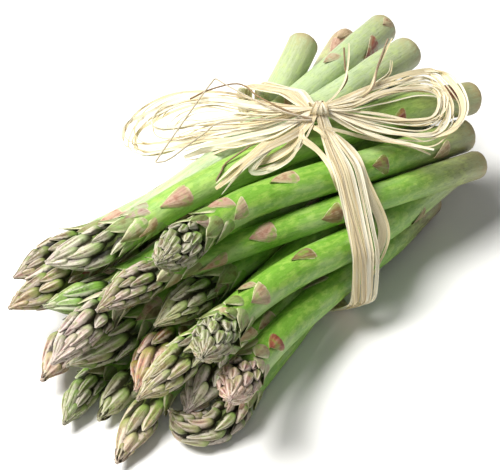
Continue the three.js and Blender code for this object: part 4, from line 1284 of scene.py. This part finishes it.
def cut_material():
    """Cut end: pale and dry, with the ends of its fibres as darker dots."""
    shader = Shader("asparagus_cut_end")
    tint = shader.attribute("tint")
    place = shader.position()
    dots = shader.node("TexVoronoi", {"Vector": place, "Scale": 0.9}).outputs["Distance"]
    cloud = shader.noise(place, 0.5, 4)
    dry = shader.mix(0.5, tint, colour(200, 186, 140))
    base = shader.mix(shader.step(cloud, 0.35, 0.7), colour(214, 214, 170), dry)
    base = shader.mix(shader.step(dots, 0.18, 0.32, 0.55, 0), base, colour(150, 138, 92))
    shader.bump(shader.math("ADD", cloud, dots), 0.3 * MM)
    return shader.finish(base, 0.75)


def raffia_material():
    """Dry palm strip: its own shade, with tan and pale streaks along it."""
    shader = Shader("raffia_strip")
    step, times, mix = shader.step, shader.times, shader.mix
    across, distance, seed = shader.split(shader.attribute("leaf"))
    own = times(seed, 60.0)
    lines = shader.noise(shader.join(times(across, 3.6), times(distance, 0.05), own), 1.0, 4)
    cloud = shader.noise(shader.join(across, times(distance, 0.1), own), 0.6, 3)
    base = mix(step(lines, 0.52, 0.68, 0, 0.5), shader.attribute("tint"), colour(196, 164, 116))
    base = mix(step(lines, 0.5, 0.34, 0, 0.5), base, colour(248, 240, 218))
    base = mix(step(cloud, 0.58, 0.75, 0, 0.3), base, colour(206, 176, 126))
    shader.bump(lines, 0.2 * MM)
    shader.surface.inputs["Subsurface Radius"].default_value = (1.0, 0.9, 0.7)
    return shader.finish(base, 0.6, Specular_IOR_Level=0.3, Subsurface_Weight=0.35, Subsurface_Scale=2 * MM)


# ---------------------------------------------------------------- floor and light

FLOOR_HALF = 3.0                             # in metres
FLOOR_TINT = np.array([0.93, 0.93, 0.92])
WORLD_STRENGTH = 0.13


def make_floor():
    mesh = bpy.data.meshes.new("floor")
    corners = [(x * FLOOR_HALF, y * FLOOR_HALF, 0) for x, y in ((-1, -1), (1, -1), (1, 1), (-1, 1))]
    mesh.from_pydata(corners, [], [(0, 1, 2, 3)])
    mesh.materials.append(Shader("floor").finish(FLOOR_TINT, 0.7))
    floor = bpy.data.objects.new("floor", mesh)
    bpy.context.scene.collection.objects.link(floor)


def make_light(name, direction, *, distance, size, power, tint):
    """A round soft light; distance and size are in metres, power in watts."""
    data = bpy.data.lights.new(name, "AREA")
    data.shape = "DISK"
    data.size = size
    data.energy = power
    data.color = tint
    light = bpy.data.objects.new(name, data)
    direction = Vector(direction).normalized()
    light.location = direction * distance
    light.rotation_euler = direction.to_track_quat("Z", "Y").to_euler()
    bpy.context.scene.collection.objects.link(light)


def make_world():
    world = bpy.data.worlds.new("studio")
    world.use_nodes = True
    background = world.node_tree.nodes["Background"]
    background.inputs["Color"].default_value = (1, 1, 1, 1)
    background.inputs["Strength"].default_value = WORLD_STRENGTH
    bpy.context.scene.world = world
    bpy.context.scene.view_settings.view_transform = "Standard"


# ---------------------------------------------------------------- assembly

make_camera()
make_floor()
make_world()
make_light("key", (-0.42, 0.26, 0.86), distance=1.4, size=0.8, power=37, tint=(1.0, 0.985, 0.96))
make_light("fill", (-0.75, -0.65, 0.55), distance=1.6, size=1.2, power=3, tint=(0.96, 0.98, 1.0))

spears = [Spear(number, look.head, look.blunt) for number, look in enumerate(LOOKS, 1)]
spear_materials = [skin_material(), scale_material(), cut_material()]
bracts = place_bracts(spears, np.random.default_rng(3))
for number, (spear, look) in enumerate(zip(spears, LOOKS), 1):
    make_spear(spear, number, look, bracts[spear.node], spear_materials)
make_raffia(spears, [raffia_material()])
